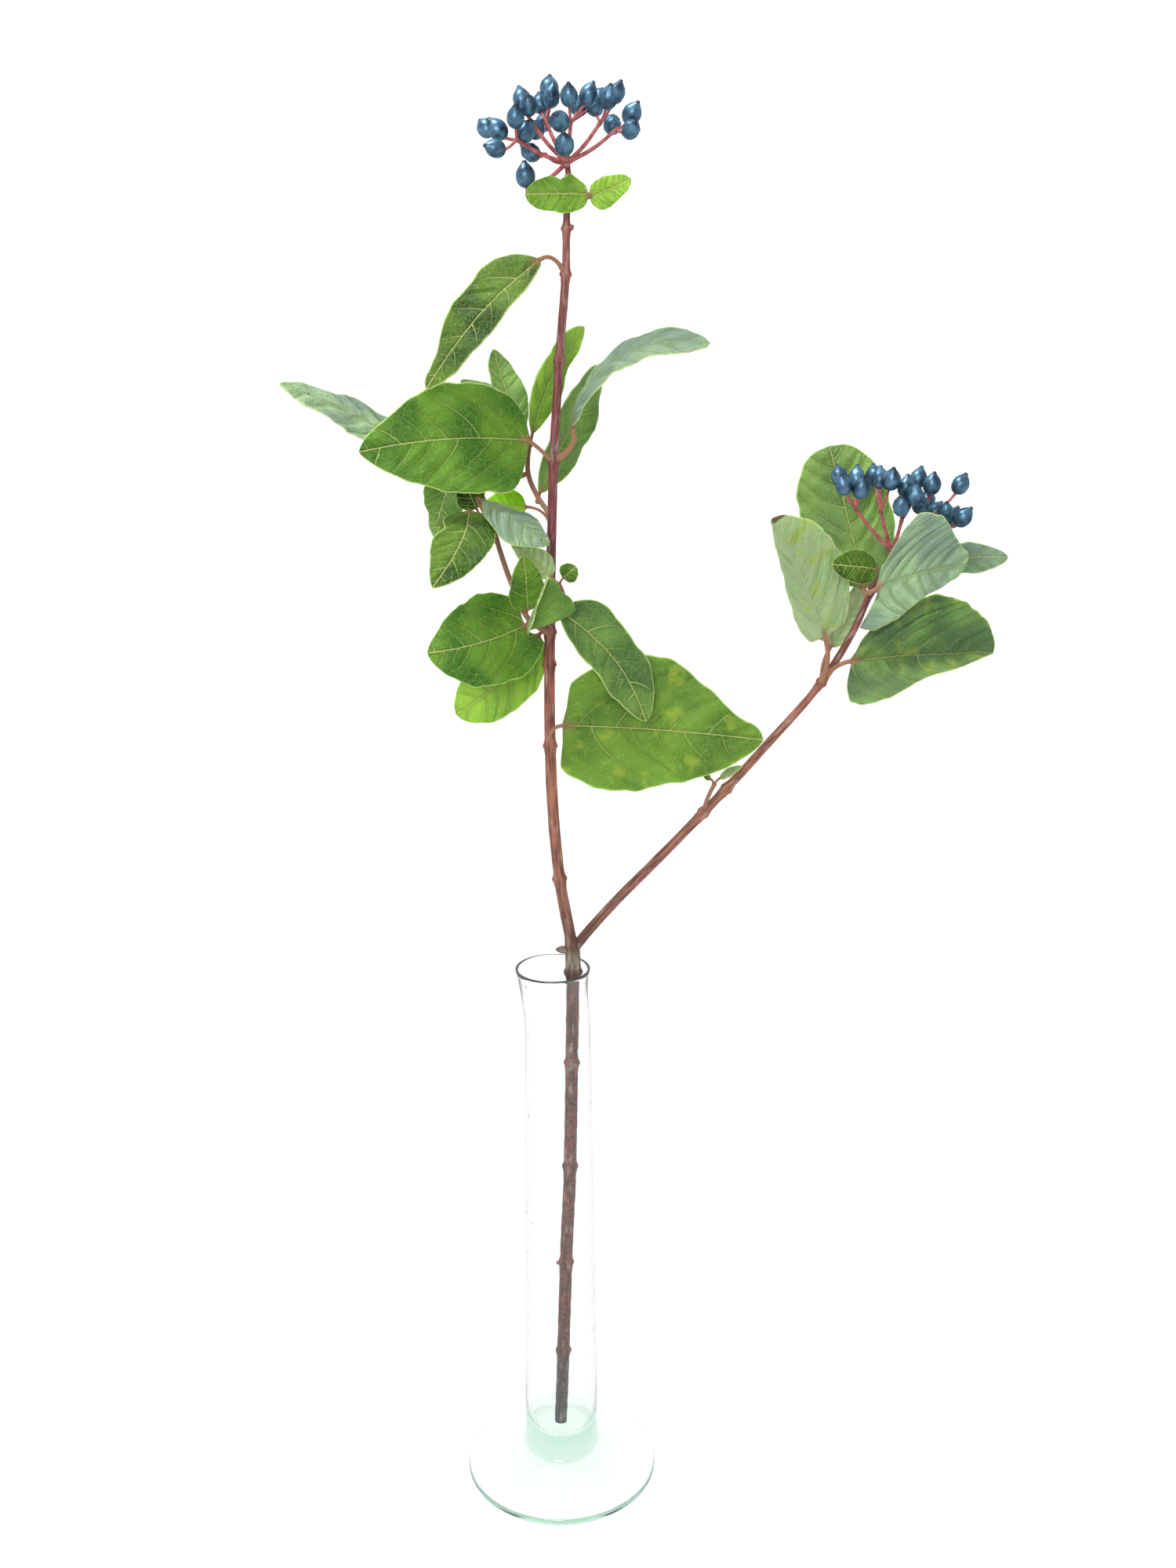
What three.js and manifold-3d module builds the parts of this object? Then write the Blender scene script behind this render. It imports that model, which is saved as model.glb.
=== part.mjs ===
// A leafy viburnum stem with two heads of berries, standing in a slim glass bud vase.
// Millimetres, +Z up, +X to the right, -Y towards the viewer.
// The origin is the centre of the vase's foot, on the surface that it stands on.
import * as THREE from "three";
import { mergeVertices } from "three/addons/utils/BufferGeometryUtils.js";
import Module from "manifold-3d";

const wasm = await Module();
wasm.setup();

// Driving dimensions of the vase
const VASE_HEIGHT = 225;
const FOOT_RADIUS = 39;
const FOOT_EDGE = 3.4; // height of the foot's rim
const TUBE_FOOT_RADIUS = 15; // the tube outside, where it leaves the foot
const TUBE_NECK_RADIUS = 12.7; // the tube outside, below the lip
const LIP_RADIUS = 14.4;
const LIP_SHIFT = -1.8; // the lip flares a little more to the left
const WALL_LOW = 2.2;
const WALL_HIGH = 1.8;
const FLOOR = 20; // inside floor, above the solid glass bottom
const NECK = 205; // height where the flare of the lip begins
const LEAN = 195; // height from which the neck leans over to the lip's side
const GLASS_FACETS = 32;

// Driving dimensions of the plant
const GAP = 0.3; // between pieces that touch
const BLADE = 0.8; // thickness of a leaf
const LEAF_STALK = 0.75; // radius
const BERRY_LENGTH = 8.6;
const BERRY_RADIUS = 3.05;

const vec = (p) => new THREE.Vector3(...p);
const lerp = THREE.MathUtils.lerp;
const smooth = THREE.MathUtils.smoothstep;

// Solids

// A closed skin over rings of points that all go counterclockwise round the way ahead. The far half
// of each ring lies under the near half, and both are split into triangles alike, so a thin blade's
// faces never cross.
function skin(rings) {
  const size = rings[0].length;
  const half = size / 2;
  const faces = [];
  rings.slice(1).forEach((_, i) => {
    for (let j = 0; j < size; j++) {
      const next = (j + 1) % size;
      const a = i * size + j;
      const b = i * size + next;
      const c = b + size;
      const d = a + size;
      if (j < half) faces.push(a, b, c, a, c, d);
      else faces.push(a, b, d, b, c, d);
    }
  });
  const last = (rings.length - 1) * size;
  for (let j = 0; j < half - 1; j++) {
    const quad = [j, j + 1, size - 2 - j, size - 1 - j];
    const [a, b, c, d] = quad.map((k) => last + k);
    faces.push(a, b, c, a, c, d);
    faces.push(quad[0], quad[2], quad[1], quad[0], quad[3], quad[2]);
  }
  const geometry = new THREE.BufferGeometry().setFromPoints(rings.flat());
  return geometry.setIndex(faces);
}

// A closed three.js geometry as a solid that can be joined and cut.
function solid(geometry) {
  geometry.deleteAttribute("normal");
  geometry.deleteAttribute("uv");
  const merged = mergeVertices(geometry, 1e-4);
  const vertProperties = new Float32Array(merged.attributes.position.array);
  const triVerts = new Uint32Array(merged.index.array);
  return new wasm.Manifold(new wasm.Mesh({ numProp: 3, vertProperties, triVerts }));
}

function geometryOf(body) {
  const { vertProperties, triVerts } = body.getMesh();
  const position = new THREE.BufferAttribute(new Float32Array(vertProperties), 3);
  return new THREE.BufferGeometry()
    .setAttribute("position", position)
    .setIndex(new THREE.BufferAttribute(new Uint32Array(triVerts), 1));
}

const union = (bodies) => bodies.reduce((a, b) => a.add(b));

const SECTION_WAY = new THREE.Vector3(0.31, -0.9, 0.05); // no rod runs this way

// A round rod along a smooth curve through the points. radius(t) takes the share of the way, 0 to 1.
// It gets a ring at even steps, and one more at each share in extra.
function rod(points, radius, { sides = 8, steps = 10, extra = [] } = {}) {
  const curve = new THREE.CatmullRomCurve3(points.map(vec), false, "centripetal");
  const even = Array.from({ length: steps + 1 }, (_, i) => i / steps);
  const ways = [...even, ...extra].sort((a, b) => a - b);
  const rings = ways.map((t) => {
    const ahead = curve.getTangentAt(t);
    const side = new THREE.Vector3().crossVectors(SECTION_WAY, ahead).normalize();
    const up = new THREE.Vector3().crossVectors(ahead, side);
    return Array.from({ length: sides }, (_, k) => {
      const angle = ((k + 0.5) / sides) * 2 * Math.PI;
      return curve
        .getPointAt(t)
        .addScaledVector(side, radius(t) * Math.cos(angle))
        .addScaledVector(up, radius(t) * Math.sin(angle));
    });
  });
  return solid(skin(rings));
}

// The glass vase

function vase() {
  const outside = [
    [0, 0],
    [FOOT_RADIUS - 0.6, 0],
    [FOOT_RADIUS, 0.7],
    [FOOT_RADIUS, FOOT_EDGE - 0.9],
    [FOOT_RADIUS - 1.1, FOOT_EDGE],
    [27, 7.4],
    [18.5, 11],
    [TUBE_FOOT_RADIUS + 0.8, 13],
    [TUBE_FOOT_RADIUS, 17],
    [TUBE_FOOT_RADIUS, 25],
    [TUBE_NECK_RADIUS, NECK],
    [TUBE_NECK_RADIUS + 0.3, 215],
  ];
  const lip = [
    [LIP_RADIUS - 0.6, VASE_HEIGHT - 2.6],
    [LIP_RADIUS, VASE_HEIGHT - 1],
    [LIP_RADIUS - 0.4, VASE_HEIGHT - 0.2],
    [LIP_RADIUS - 1, VASE_HEIGHT],
    [LIP_RADIUS - 1.7, VASE_HEIGHT - 0.6],
    [LIP_RADIUS - 2.4, VASE_HEIGHT - 3],
  ];
  const inside = [
    [TUBE_NECK_RADIUS + 0.3 - WALL_HIGH, 215],
    [TUBE_NECK_RADIUS - WALL_HIGH, NECK],
    [TUBE_FOOT_RADIUS - WALL_LOW, 27],
    [TUBE_FOOT_RADIUS - WALL_LOW - 0.8, 22.5],
    [TUBE_FOOT_RADIUS - WALL_LOW - 3, 20.4],
    [8, FLOOR],
    [0, FLOOR],
  ];
  const profile = [...outside, ...lip, ...inside].map((p) => new THREE.Vector2(...p));
  const geometry = new THREE.LatheGeometry(profile, GLASS_FACETS).rotateX(Math.PI / 2);
  const position = geometry.attributes.position;
  for (let i = 0; i < position.count; i++) {
    const shift = LIP_SHIFT * smooth(position.getZ(i), LEAN, VASE_HEIGHT);
    position.setX(i, position.getX(i) + shift);
  }
  return solid(geometry);
}

// The woody stem

// The main stem's middle line, from its cut end on the vase's floor to the berry head.
const MAIN = [
  [-0.3, 0, 20.5],
  [1, 0.5, 54],
  [2.4, 1.5, 95],
  [4.3, 2.5, 138],
  [5.3, 3, 183],
  [6, 3.4, 221],
  [5.6, 3.6, 231.5],
  [1.1, 4.5, 259],
  [-1.7, 5.5, 297],
  [-2, 6, 342],
  [-1.3, 7, 373],
  [-0.7, 7.5, 393],
  [0.1, 8, 415],
  [2.4, 8.5, 450],
  [4.9, 9, 480],
  [5.3, 9, 496],
  [6.1, 9, 512],
];
const MAIN_NODES = [54, 95, 138, 183, 221, 259, 311, 342, 354, 415, 450, 479, 494];
const SIDE = [
  [5.6, 3.8, 229],
  [8.5, 4.5, 233.5],
  [21, 6, 248],
  [38.2, 7, 266],
  [55.6, 8, 284.3],
  [77.6, 9, 309],
  [98.4, 10, 333.8],
  [109.5, 10, 353],
  [116, 9, 369],
  [122, 8, 380.5],
];
const SIDE_NODES = [284, 293.5, 334, 369];

const NODE_SWELL = 0.45; // how far the ring at a leaf node stands out
const NODE_SPREAD = 1.6; // half the ring's height
const NODE_EDGE = 2.6; // distance from the ring's middle to the plain wood
const CURVE_SAMPLES = 2000;

// A rod whose radius follows the list of [height, radius], with a low ring at each leaf node.
function wood(points, girth, nodes, steps) {
  const bottom = points[0][2];
  const top = points.at(-1)[2];
  const curve = new THREE.CatmullRomCurve3(points.map(vec), false, "centripetal");
  const samples = Array.from({ length: CURVE_SAMPLES + 1 }, (_, i) => i / CURVE_SAMPLES);
  const heightAt = (t) => curve.getPointAt(t).z;
  const heights = samples.map(heightAt);
  const wayTo = (z) => samples[heights.findIndex((h) => h >= z)];
  const radiusAt = (z) => {
    const k = Math.max(1, girth.findIndex(([h]) => h >= Math.min(z, top)));
    const [z0, r0] = girth[k - 1];
    const [z1, r1] = girth[k];
    const ring = nodes.reduce((sum, n) => sum + Math.exp(-(((z - n) / NODE_SPREAD) ** 2)), 0);
    return lerp(r0, r1, (z - z0) / (z1 - z0)) + NODE_SWELL * ring;
  };
  const rings = nodes.flatMap((n) => [n - NODE_EDGE, n, n + NODE_EDGE]);
  const extra = rings.filter((z) => z > bottom && z < top);
  return rod(points, (t) => radiusAt(heightAt(t)), { steps, extra: extra.map(wayTo) });
}

const MAIN_GIRTH = [
  [20, 2.5],
  [217, 2.55],
  [222, 3],
  [230, 2.9],
  [236, 2.2],
  [311, 2.05],
  [354, 1.9],
  [394, 1.65],
  [450, 1.5],
  [480, 1.4],
  [500, 1.15],
  [512, 1.1],
];
const SIDE_GIRTH = [
  [229, 1.9],
  [293, 1.65],
  [334, 1.4],
  [369, 1.15],
  [381, 1],
];

// The short leafy shoots, each from inside the wood that it grows from: [points, radius].
const SHOOTS = {
  crown: [[[6, 9, 501.5], [8.5, 6.5, 502.3], [11, 4, 503.6]], 0.7],
  fan: [[[-0.6, 7.6, 396], [-6, 13, 403], [-9.2, 16, 410.5], [-9, 16.5, 421]], 0.9],
  left: [[[-1.6, 6.5, 353.5], [-9.5, -1, 361], [-16, 1.5, 375], [-20.5, 3, 389], [-22.5, 4.5, 396]], 0.95],
  left_arm: [[[-20.3, 3, 388], [-23.5, 2.6, 392.5], [-26.5, 2.5, 397]], 0.8],
  right: [[[-1.5, 6.3, 356], [2.2, 3.8, 363.5], [3.4, 2.6, 368.5], [1.6, 2.2, 373]], 0.75],
  bud: [[[55.6, 8, 284.5], [57, 6.5, 290.5], [59.6, 5, 297]], 0.8],
  stub_fork: [[[5.6, 3.6, 230.5], [-1, 2.6, 231.2]], 1.5],
  stub_low: [[[2.4, 1.5, 94.4], [-1.6, 0.6, 95.6]], 1],
  stub_high: [[[5.3, 9, 494], [7.8, 8, 495.2]], 1.1],
};

const MAIN_STEPS = 26;
const SIDE_STEPS = 16;
const SHOOT_TAPER = 0.1; // share by which a shoot is thicker at its foot and thinner at its end

// The whole wood, made thicker all over by spare.
function stem(spare) {
  const thicker = (girth) => girth.map(([z, r]) => [z, r + spare]);
  const main = wood(MAIN, thicker(MAIN_GIRTH), MAIN_NODES, MAIN_STEPS);
  const side = wood(SIDE, thicker(SIDE_GIRTH), SIDE_NODES, SIDE_STEPS);
  const shoots = Object.values(SHOOTS).map(([points, radius]) => {
    const girth = (t) => radius * (1 + SHOOT_TAPER * (1 - 2 * t)) + spare;
    return rod(points, girth, { sides: 6, steps: points.length * 2 });
  });
  return union([main, side, ...shoots]);
}

// The leaves

// A leaf is told by: from, where its stalk starts in the wood; base and tip of the blade; face, the
// way its upper side looks; width. Seen from the face, with the tip ahead, its left is the first
// side. arch lifts the middle of the midrib towards the face and sweep moves it to the first side.
// fold (degrees) turns the two halves up like a V, and twist (degrees) turns the tip against the
// base. wave is [height, waves, start] of the rippled margin. widest is the place of the greatest
// width, and slim is over 1.4 for a pointed blade and under it for a round one. slant moves the
// first side towards the tip and the other towards the base, and heart draws the first and the
// second margin back beside the base. Each of lobes is [side, at, swell, spread], a bulge of the
// first side's margin (side 1) or the second's (-1) at its share of the length, by millimetres that
// are below zero for a bay. A leaf stalk bends at its knee.
const LEAVES = {
  crown_left: {
    from: [10.4, 4.4, 503.3], base: [12.8, 0.8, 504.8], tip: [-8.5, 0, 504.8], stalk: 0.5,
    face: [0, -1, 0.2], width: 12.4, arch: 1.5, wave: [0.8, 2, 0.1], widest: 0.45, slim: 0.95,
    lobes: [[-1, 0.26, 0.5, 0.1], [-1, 0.44, -1.6, 0.07], [1, 0.15, 0.4]],
  },
  crown_right: {
    from: [11, 4.9, 503.2], base: [13.4, 4, 504.2], tip: [27.2, -0.5, 509.6], stalk: 0.5,
    face: [0.1, -1, 0.3], width: 10.4, arch: 1, sweep: -0.5, fold: 12, wave: [0.5, 2, 0.4], slim: 1.1,
    lobes: [[-1, 0.3, 1.2, 0.2], [1, 0.5, -0.8, 0.3]],
  },
  upper_left: {
    from: [4.7, 9, 479.5], base: [-4, 4.5, 484], tip: [-43, -6, 441.5],
    face: [-0.25, -0.8, 0.5], width: 21, arch: 3, sweep: -1.4, fold: 8, wave: [0.8, 3, 0.2],
    widest: 0.45, slim: 1.2, lobes: [[-1, 0.18, 2.8], [-1, 0.82, -3], [1, 0.3, -2.5, 0.3]],
  },
  middle_left: {
    from: [0.2, 8, 415], base: [-8.5, 3, 423.4], tip: [-67, -8, 420.5], knee: [-5, 5, 421],
    face: [0, -1, 0.3], width: 39, arch: 2, sweep: -2, fold: 5, wave: [1, 2.5, 0.3], widest: 0.38,
    slim: 1.25, lobes: [[1, 0.08, 4.5], [-1, 0.8, -1.5]],
  },
  middle_right: {
    from: [0.3, 8, 416], base: [6.6, 4, 428.5], tip: [54, -7, 456.5], knee: [10, 5, 421], stalk: 1,
    face: [-0.5, -0.35, 0.8], width: 20, arch: 12.5, wave: [0.7, 4, 0.1], widest: 0.55, slim: 0.9,
    lobes: [[1, 0.08, 2], [-1, 0.08, 2], [1, 0.88, 3], [1, 0.3, -2], [-1, 0.9, 1.5]],
  },
  far_left: {
    from: [-9, 15, 411], base: [-40, 20, 412.5], tip: [-96, 8, 443],
    face: [0.4, -0.35, 0.85], width: 25, arch: 2, wave: [0.8, 3, 0.2], widest: 0.45, slim: 1.2,
  },
  fan_left: {
    from: [-9.7, 16.6, 420], base: [-11.4, 17.4, 425], tip: [-21.5, 26, 454], stalk: 0.5,
    face: [0.5, -0.8, 0.3], width: 14, arch: 1, sweep: 1.5, fold: 18, wave: [0.5, 2, 0], widest: 0.45,
  },
  fan_low: {
    from: [-9.8, 15.8, 418.8], base: [-12, 12.5, 423.5], tip: [-32.5, 11, 444], stalk: 0.5,
    face: [0.3, -0.8, 0.4], width: 16, arch: 1, wave: [0.5, 2, 0.4],
  },
  fan_right: {
    from: [-8.4, 16.6, 420], base: [-7.6, 18, 424.8], tip: [11.2, 28, 461.5], stalk: 0.6,
    face: [0.7, -0.6, 0], width: 17, arch: 1, sweep: 4.5, fold: 10, wave: [0.7, 2, 0.1], widest: 0.5,
    lobes: [[-1, 0.6, -3, 0.3]],
  },
  rear_right: {
    from: [-5.6, 12, 401], base: [-5.2, 18, 403.5], tip: [16.7, 32, 447.7],
    face: [0.75, -0.6, -0.2], width: 22.5, arch: 2, sweep: 2.5, fold: 8, wave: [0.8, 2.5, 0.3],
    widest: 0.5, slim: 1.25,
  },
  bright: {
    from: [-0.9, 7.4, 392.6], base: [-10, 13, 399], tip: [-26.5, 17, 398], stalk: 0.55,
    face: [0, -1, 0.4], width: 13.5, arch: 1, wave: [0.4, 2, 0],
  },
  left_rear: {
    from: [-23.3, 2.7, 392.4], base: [-36, 15, 411], tip: [-42.3, 13, 393.3], stalk: 0.6,
    face: [-0.3, -0.9, 0.2], width: 17.5, arch: 1, wave: [0.5, 2, 0.3], widest: 0.45,
  },
  left_far: {
    from: [-22.5, 5, 396.2], base: [-36.5, 22, 407], tip: [-43.5, 19, 386.5], stalk: 0.6,
    face: [-0.3, -0.9, 0.2], width: 12.5, arch: 1, slim: 1.1,
  },
  left_front: {
    from: [-26.6, 2.2, 397], base: [-30, 0, 399], tip: [-41, -28, 376.5], stalk: 0.6,
    face: [0.1, -0.55, 0.85], width: 22, arch: 4, sweep: 3.5, wave: [0.9, 2, 0.1], widest: 0.38, slim: 1.2,
    lobes: [[-1, 0.35, -3.5]],
  },
  left_dark: {
    from: [-25.6, 3.1, 395.6], base: [-27.4, 4.2, 399.5], tip: [-32.5, 3, 409.5], stalk: 0.5,
    face: [0.2, -0.9, 0.3], width: 11, arch: 0.5,
  },
  left_high: {
    from: [-22.6, 3.9, 395.4], base: [-25.6, 0, 403.4], tip: [-1.2, -12, 388.8], stalk: 0.6,
    face: [0.35, -0.5, 0.8], width: 20, arch: 2, sweep: -1, fold: -15, wave: [0.6, 2, 0.1],
    widest: 0.58, slim: 1.8,
  },
  knot_up: {
    from: [-10, -0.8, 362.4], base: [-9.6, -3.4, 364.3], tip: [-10.6, -7.5, 384.6], stalk: 0.5,
    face: [0.3, -0.95, 0.2], width: 13.5, arch: 1, fold: 8, wave: [0.3, 2, 0.2], widest: 0.34, slim: 1.1,
  },
  knot_fold: {
    from: [-9.2, -0.9, 360.6], base: [-9, -6, 357.6], tip: [-1.7, -15, 377.8], stalk: 0.55,
    face: [0.7, -0.65, 0.35], width: 25, arch: -1, sweep: -1.2, slant: -0.2, fold: 35,
    wave: [0.4, 2, 0.2], widest: 0.42, slim: 1.6, lobes: [[-1, 0.7, -3], [-1, 0.3, 2]],
  },
  knot_broad: {
    from: [-9.8, -0.9, 361.6], base: [-10.6, 0.4, 358], tip: [-45.5, -8, 349.7], stalk: 0.6,
    face: [0, -1, 0.35], width: 33.5, arch: 2, sweep: 2, heart: [6, 6], wave: [1.2, 2.5, 0.2],
    widest: 0.38, slim: 1.15,
  },
  knot_sliver: {
    from: [-12.2, 0, 366.8], base: [-14, 7.5, 366], tip: [-20, 11, 365], stalk: 0.5,
    face: [0, -0.5, 0.8], width: 5, arch: 0.5,
  },
  below_left: {
    from: [-1.6, 6.5, 353.5], base: [-6, 9.5, 352.5], tip: [-37, 8, 323],
    face: [0.1, -1, 0.3], width: 24, arch: 2, sweep: 2.5, wave: [0.9, 2.5, 0.3], widest: 0.48, slim: 1.1,
  },
  below_right: {
    from: [-1.6, 6.5, 354.5], base: [1.8, 1, 363], tip: [33, -8, 324],
    face: [0.25, -0.9, 0.45], width: 21, arch: 2, sweep: 4.5, fold: 8, wave: [0.8, 3, 0.2], widest: 0.5,
    lobes: [[1, 0.15, 4.5], [-1, 0.5, -1.2]],
  },
  broad_right: {
    from: [-2, 5.8, 311], base: [3.5, 0.5, 320.5], tip: [76.5, -2, 315.4],
    face: [0, -1, 0.25], width: 48, arch: 3, sweep: 1, slant: 0.1, heart: [4, 4], wave: [1.3, 2.5, 0.4],
    widest: 0.34, slim: 1.05, lobes: [[1, 0.42, 3], [1, 0.82, -4.5], [-1, 0.55, -1.5, 0.3]],
  },
  right_fold: {
    from: [1.3, 2, 373], base: [-0.8, 0.9, 375.4], tip: [-15.4, 3, 387], stalk: 0.5,
    face: [0.2, -0.75, 0.6], width: 11, arch: 1, fold: 20, wave: [0.5, 2, 0.2], widest: 0.36,
  },
  right_round: {
    from: [2.2, 2.2, 373], base: [3.4, 0.2, 375.2], tip: [8, -1, 379.6], stalk: 0.4,
    face: [0.1, -1, 0.3], width: 7.4, arch: 0.5, slim: 1,
  },
  bud_long: {
    from: [59.5, 5, 296.8], base: [61.2, 4.2, 299], tip: [69.5, 2, 304.4], stalk: 0.45,
    face: [-0.3, -0.6, 0.7], width: 4, arch: 0.5,
  },
  bud_short: {
    from: [58.6, 5.6, 294.8], base: [58, 5.4, 298.4], tip: [54.6, 4.5, 301], stalk: 0.45,
    face: [0.3, -0.6, 0.7], width: 3.2,
  },
  branch_back: {
    from: [97.2, 10.8, 332.2], base: [98.8, 6, 352.4], tip: [78.2, 4, 395.8], stalk: 0.9,
    face: [0.53, 0.83, 0.1], width: 32, arch: 3, slant: 0.2, heart: [2, 2], fold: 30, twist: -30,
    wave: [0.8, 3, 0.1], widest: 0.42, slim: 1, lobes: [[-1, 0.5, -2, 0.4]],
  },
  branch_front: {
    from: [100.3, 9.4, 336.6], base: [109.4, 5, 343.5], tip: [157.4, -8, 349], stalk: 0.9,
    face: [0, -0.8, 0.6], width: 42, arch: 2, slant: 0.45, fold: 20, twist: -50,
    wave: [1.2, 2.5, 0.3], widest: 0.42, slim: 1.1, lobes: [[-1, 0.65, -3.5, 0.2], [1, 0.15, -2]],
  },
  branch_rear: {
    from: [99.2, 10.3, 334.2], base: [102.5, 15, 346.6], tip: [115.5, 22, 371],
    face: [0.6, -0.7, 0], width: 14, arch: 1,
  },
  head_rear: {
    from: [114.6, 9.4, 365], base: [113.5, 14, 369], tip: [102, 35, 418.5], stalk: 0.8,
    face: [0.1, -1, 0.3], width: 35, arch: -2, sweep: -1, wave: [1.2, 2.5, 0.2], widest: 0.55, slim: 0.9,
  },
  head_small: {
    from: [116, 9, 369.5], base: [116.5, 5, 377.2], tip: [99.3, -1, 379.8], stalk: 0.5,
    face: [0, -1, 0.4], width: 12.5, arch: 1, wave: [0.5, 2, 0.1], slim: 1.1,
  },
  head_front: {
    from: [115.7, 9, 368.5], base: [115.8, -5, 372.1], tip: [144.6, -14, 381.5], stalk: 0.8,
    face: [0, -0.98, 0.2], width: 34, arch: 2, sweep: 1.5, slant: 0.5, heart: [0, 12],
    wave: [0.7, 3, 0.1], widest: 0.38, slim: 1,
    lobes: [[1, 0.1, -4], [1, 0.45, 3, 0.2], [1, 0.82, -2.6, 0.15], [-1, 0.6, -6, 0.35]],
  },
  head_right: {
    from: [116.2, 9, 370], base: [126, 11, 377.6], tip: [164, 6, 381.2], stalk: 0.6,
    face: [0, -0.7, 0.7], width: 14, arch: 1.5, wave: [0.5, 3, 0.2], widest: 0.55, lobes: [[1, 0.3, -1.8]],
  },
};

const BLADE_STATIONS = [0.05, 0.15, 0.27, 0.4, 0.53, 0.66, 0.78, 0.88, 0.96, 1];
const SMALL_STATIONS = [0.07, 0.25, 0.45, 0.65, 0.85, 1];
const SMALL_LEAF = 19.5; // millimetres of width, below which a blade has fewer faces
const TIP_WIDTH = 1;
const LOBE = 0.15; // how far a lobe spreads along the blade unless it says so, as a share of the length
const LOBE_FOOT = 0.05; // lobes fade out below this share of the length
const LOBE_TIP = 0.1; // and over the last of it
const MARGIN_LAG = 0.35; // the second margin's ripples run behind the first's by this share of a wave
const KNEE = 0.55; // how far behind the blade a leaf stalk bends, as a share of its reach, if not told
const LONG_STALK = 8; // reach from which a leaf stalk has more rings

function leaf(spec) {
  const { face, width, arch = 0, sweep = 0, fold = 0, twist = 0, wave = [0, 1, 0] } = spec;
  const { widest = 0.42, slim = 1.4, slant = 0, heart = [0, 0], lobes = [] } = spec;
  const { stalk = LEAF_STALK } = spec;
  const [from, base, tip] = [spec.from, spec.base, spec.tip].map(vec);
  const chord = tip.clone().sub(base);
  const normal = vec(face).projectOnPlane(chord).normalize();
  const side = new THREE.Vector3().crossVectors(normal, chord).normalize();
  const bend = normal.clone().multiplyScalar(arch).addScaledVector(side, sweep);

  const midrib = (s) => base.clone().addScaledVector(chord, s).addScaledVector(bend, 4 * s * (1 - s));
  const frame = (s) => {
    const ahead = chord.clone().addScaledVector(bend, 4 * (1 - 2 * s)).normalize();
    const turn = THREE.MathUtils.degToRad(twist * (s - 0.5));
    const up = normal.clone().projectOnPlane(ahead).normalize().applyAxisAngle(ahead, turn);
    return { ahead, up, across: new THREE.Vector3().crossVectors(up, ahead) };
  };
  const swell = (s, u) => {
    const near = lobes.filter(([edge]) => edge * u > 0);
    const bulge = ([, at, high, spread = LOBE]) => high * Math.exp(-(((s - at) / spread) ** 2));
    return Math.min(1, s / LOBE_FOOT, (1 - s) / LOBE_TIP) * near.reduce((sum, lobe) => sum + bulge(lobe), 0);
  };
  const outline = (s, u) => {
    const rise = (s / widest) ** widest;
    const fall = ((1 - s) / (1 - widest)) ** (1 - widest);
    const half = (width / 2) * (rise * fall) ** slim + swell(s, u);
    return Math.max(half, s > 0.5 ? TIP_WIDTH / 2 : stalk);
  };
  const ripple = (s, u) => {
    const phase = 2 * Math.PI * (wave[1] * s + wave[2] + (u < 0 ? MARGIN_LAG : 0));
    return wave[0] * Math.abs(u) ** 1.5 * Math.sin(phase) * Math.sin(Math.PI * s);
  };

  const spans = width < SMALL_LEAF ? 2 : 4;
  const count = 2 * (spans + 1);
  const blade = (width < SMALL_LEAF ? SMALL_STATIONS : BLADE_STATIONS).map((s) => {
    const { ahead, up, across } = frame(s);
    const lift = THREE.MathUtils.degToRad(fold);
    return Array.from({ length: count }, (_, k) => {
      const u = 1 - (2 * (k <= spans ? k : count - 1 - k)) / spans;
      const half = outline(s, u);
      const drawn = heart[u > 0 ? 0 : 1] * (1 - s) ** 4;
      const onward = u * half * slant - Math.abs(u) * drawn;
      const height = Math.abs(u) * half * Math.sin(lift) + ripple(s, u);
      const skinSide = k <= spans ? BLADE / 2 : -BLADE / 2;
      return midrib(s)
        .addScaledVector(across, u * half * Math.cos(lift))
        .addScaledVector(ahead, onward)
        .addScaledVector(up, height + skinSide);
    });
  });

  const { across, ahead } = frame(0);
  const reach = from.distanceTo(base);
  const knee = spec.knee ? vec(spec.knee) : base.clone().addScaledVector(ahead, -KNEE * reach);
  const path = new THREE.QuadraticBezierCurve3(from, knee, base);
  const stalkRings = (reach > LONG_STALK ? [0, 0.3, 0.65, 1] : [0, 0.5, 1]).map((t) => {
    const along = path.getTangent(t);
    const sideways = across.clone().projectOnPlane(along).normalize();
    const upward = new THREE.Vector3().crossVectors(along, sideways);
    return Array.from({ length: count }, (_, k) => {
      const angle = ((k + 0.5) / count) * 2 * Math.PI;
      return path
        .getPoint(t)
        .addScaledVector(sideways, stalk * Math.cos(angle))
        .addScaledVector(upward, stalk * Math.sin(angle));
    });
  });
  return solid(skin([...stalkRings, ...blade]));
}

// The berry heads

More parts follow.
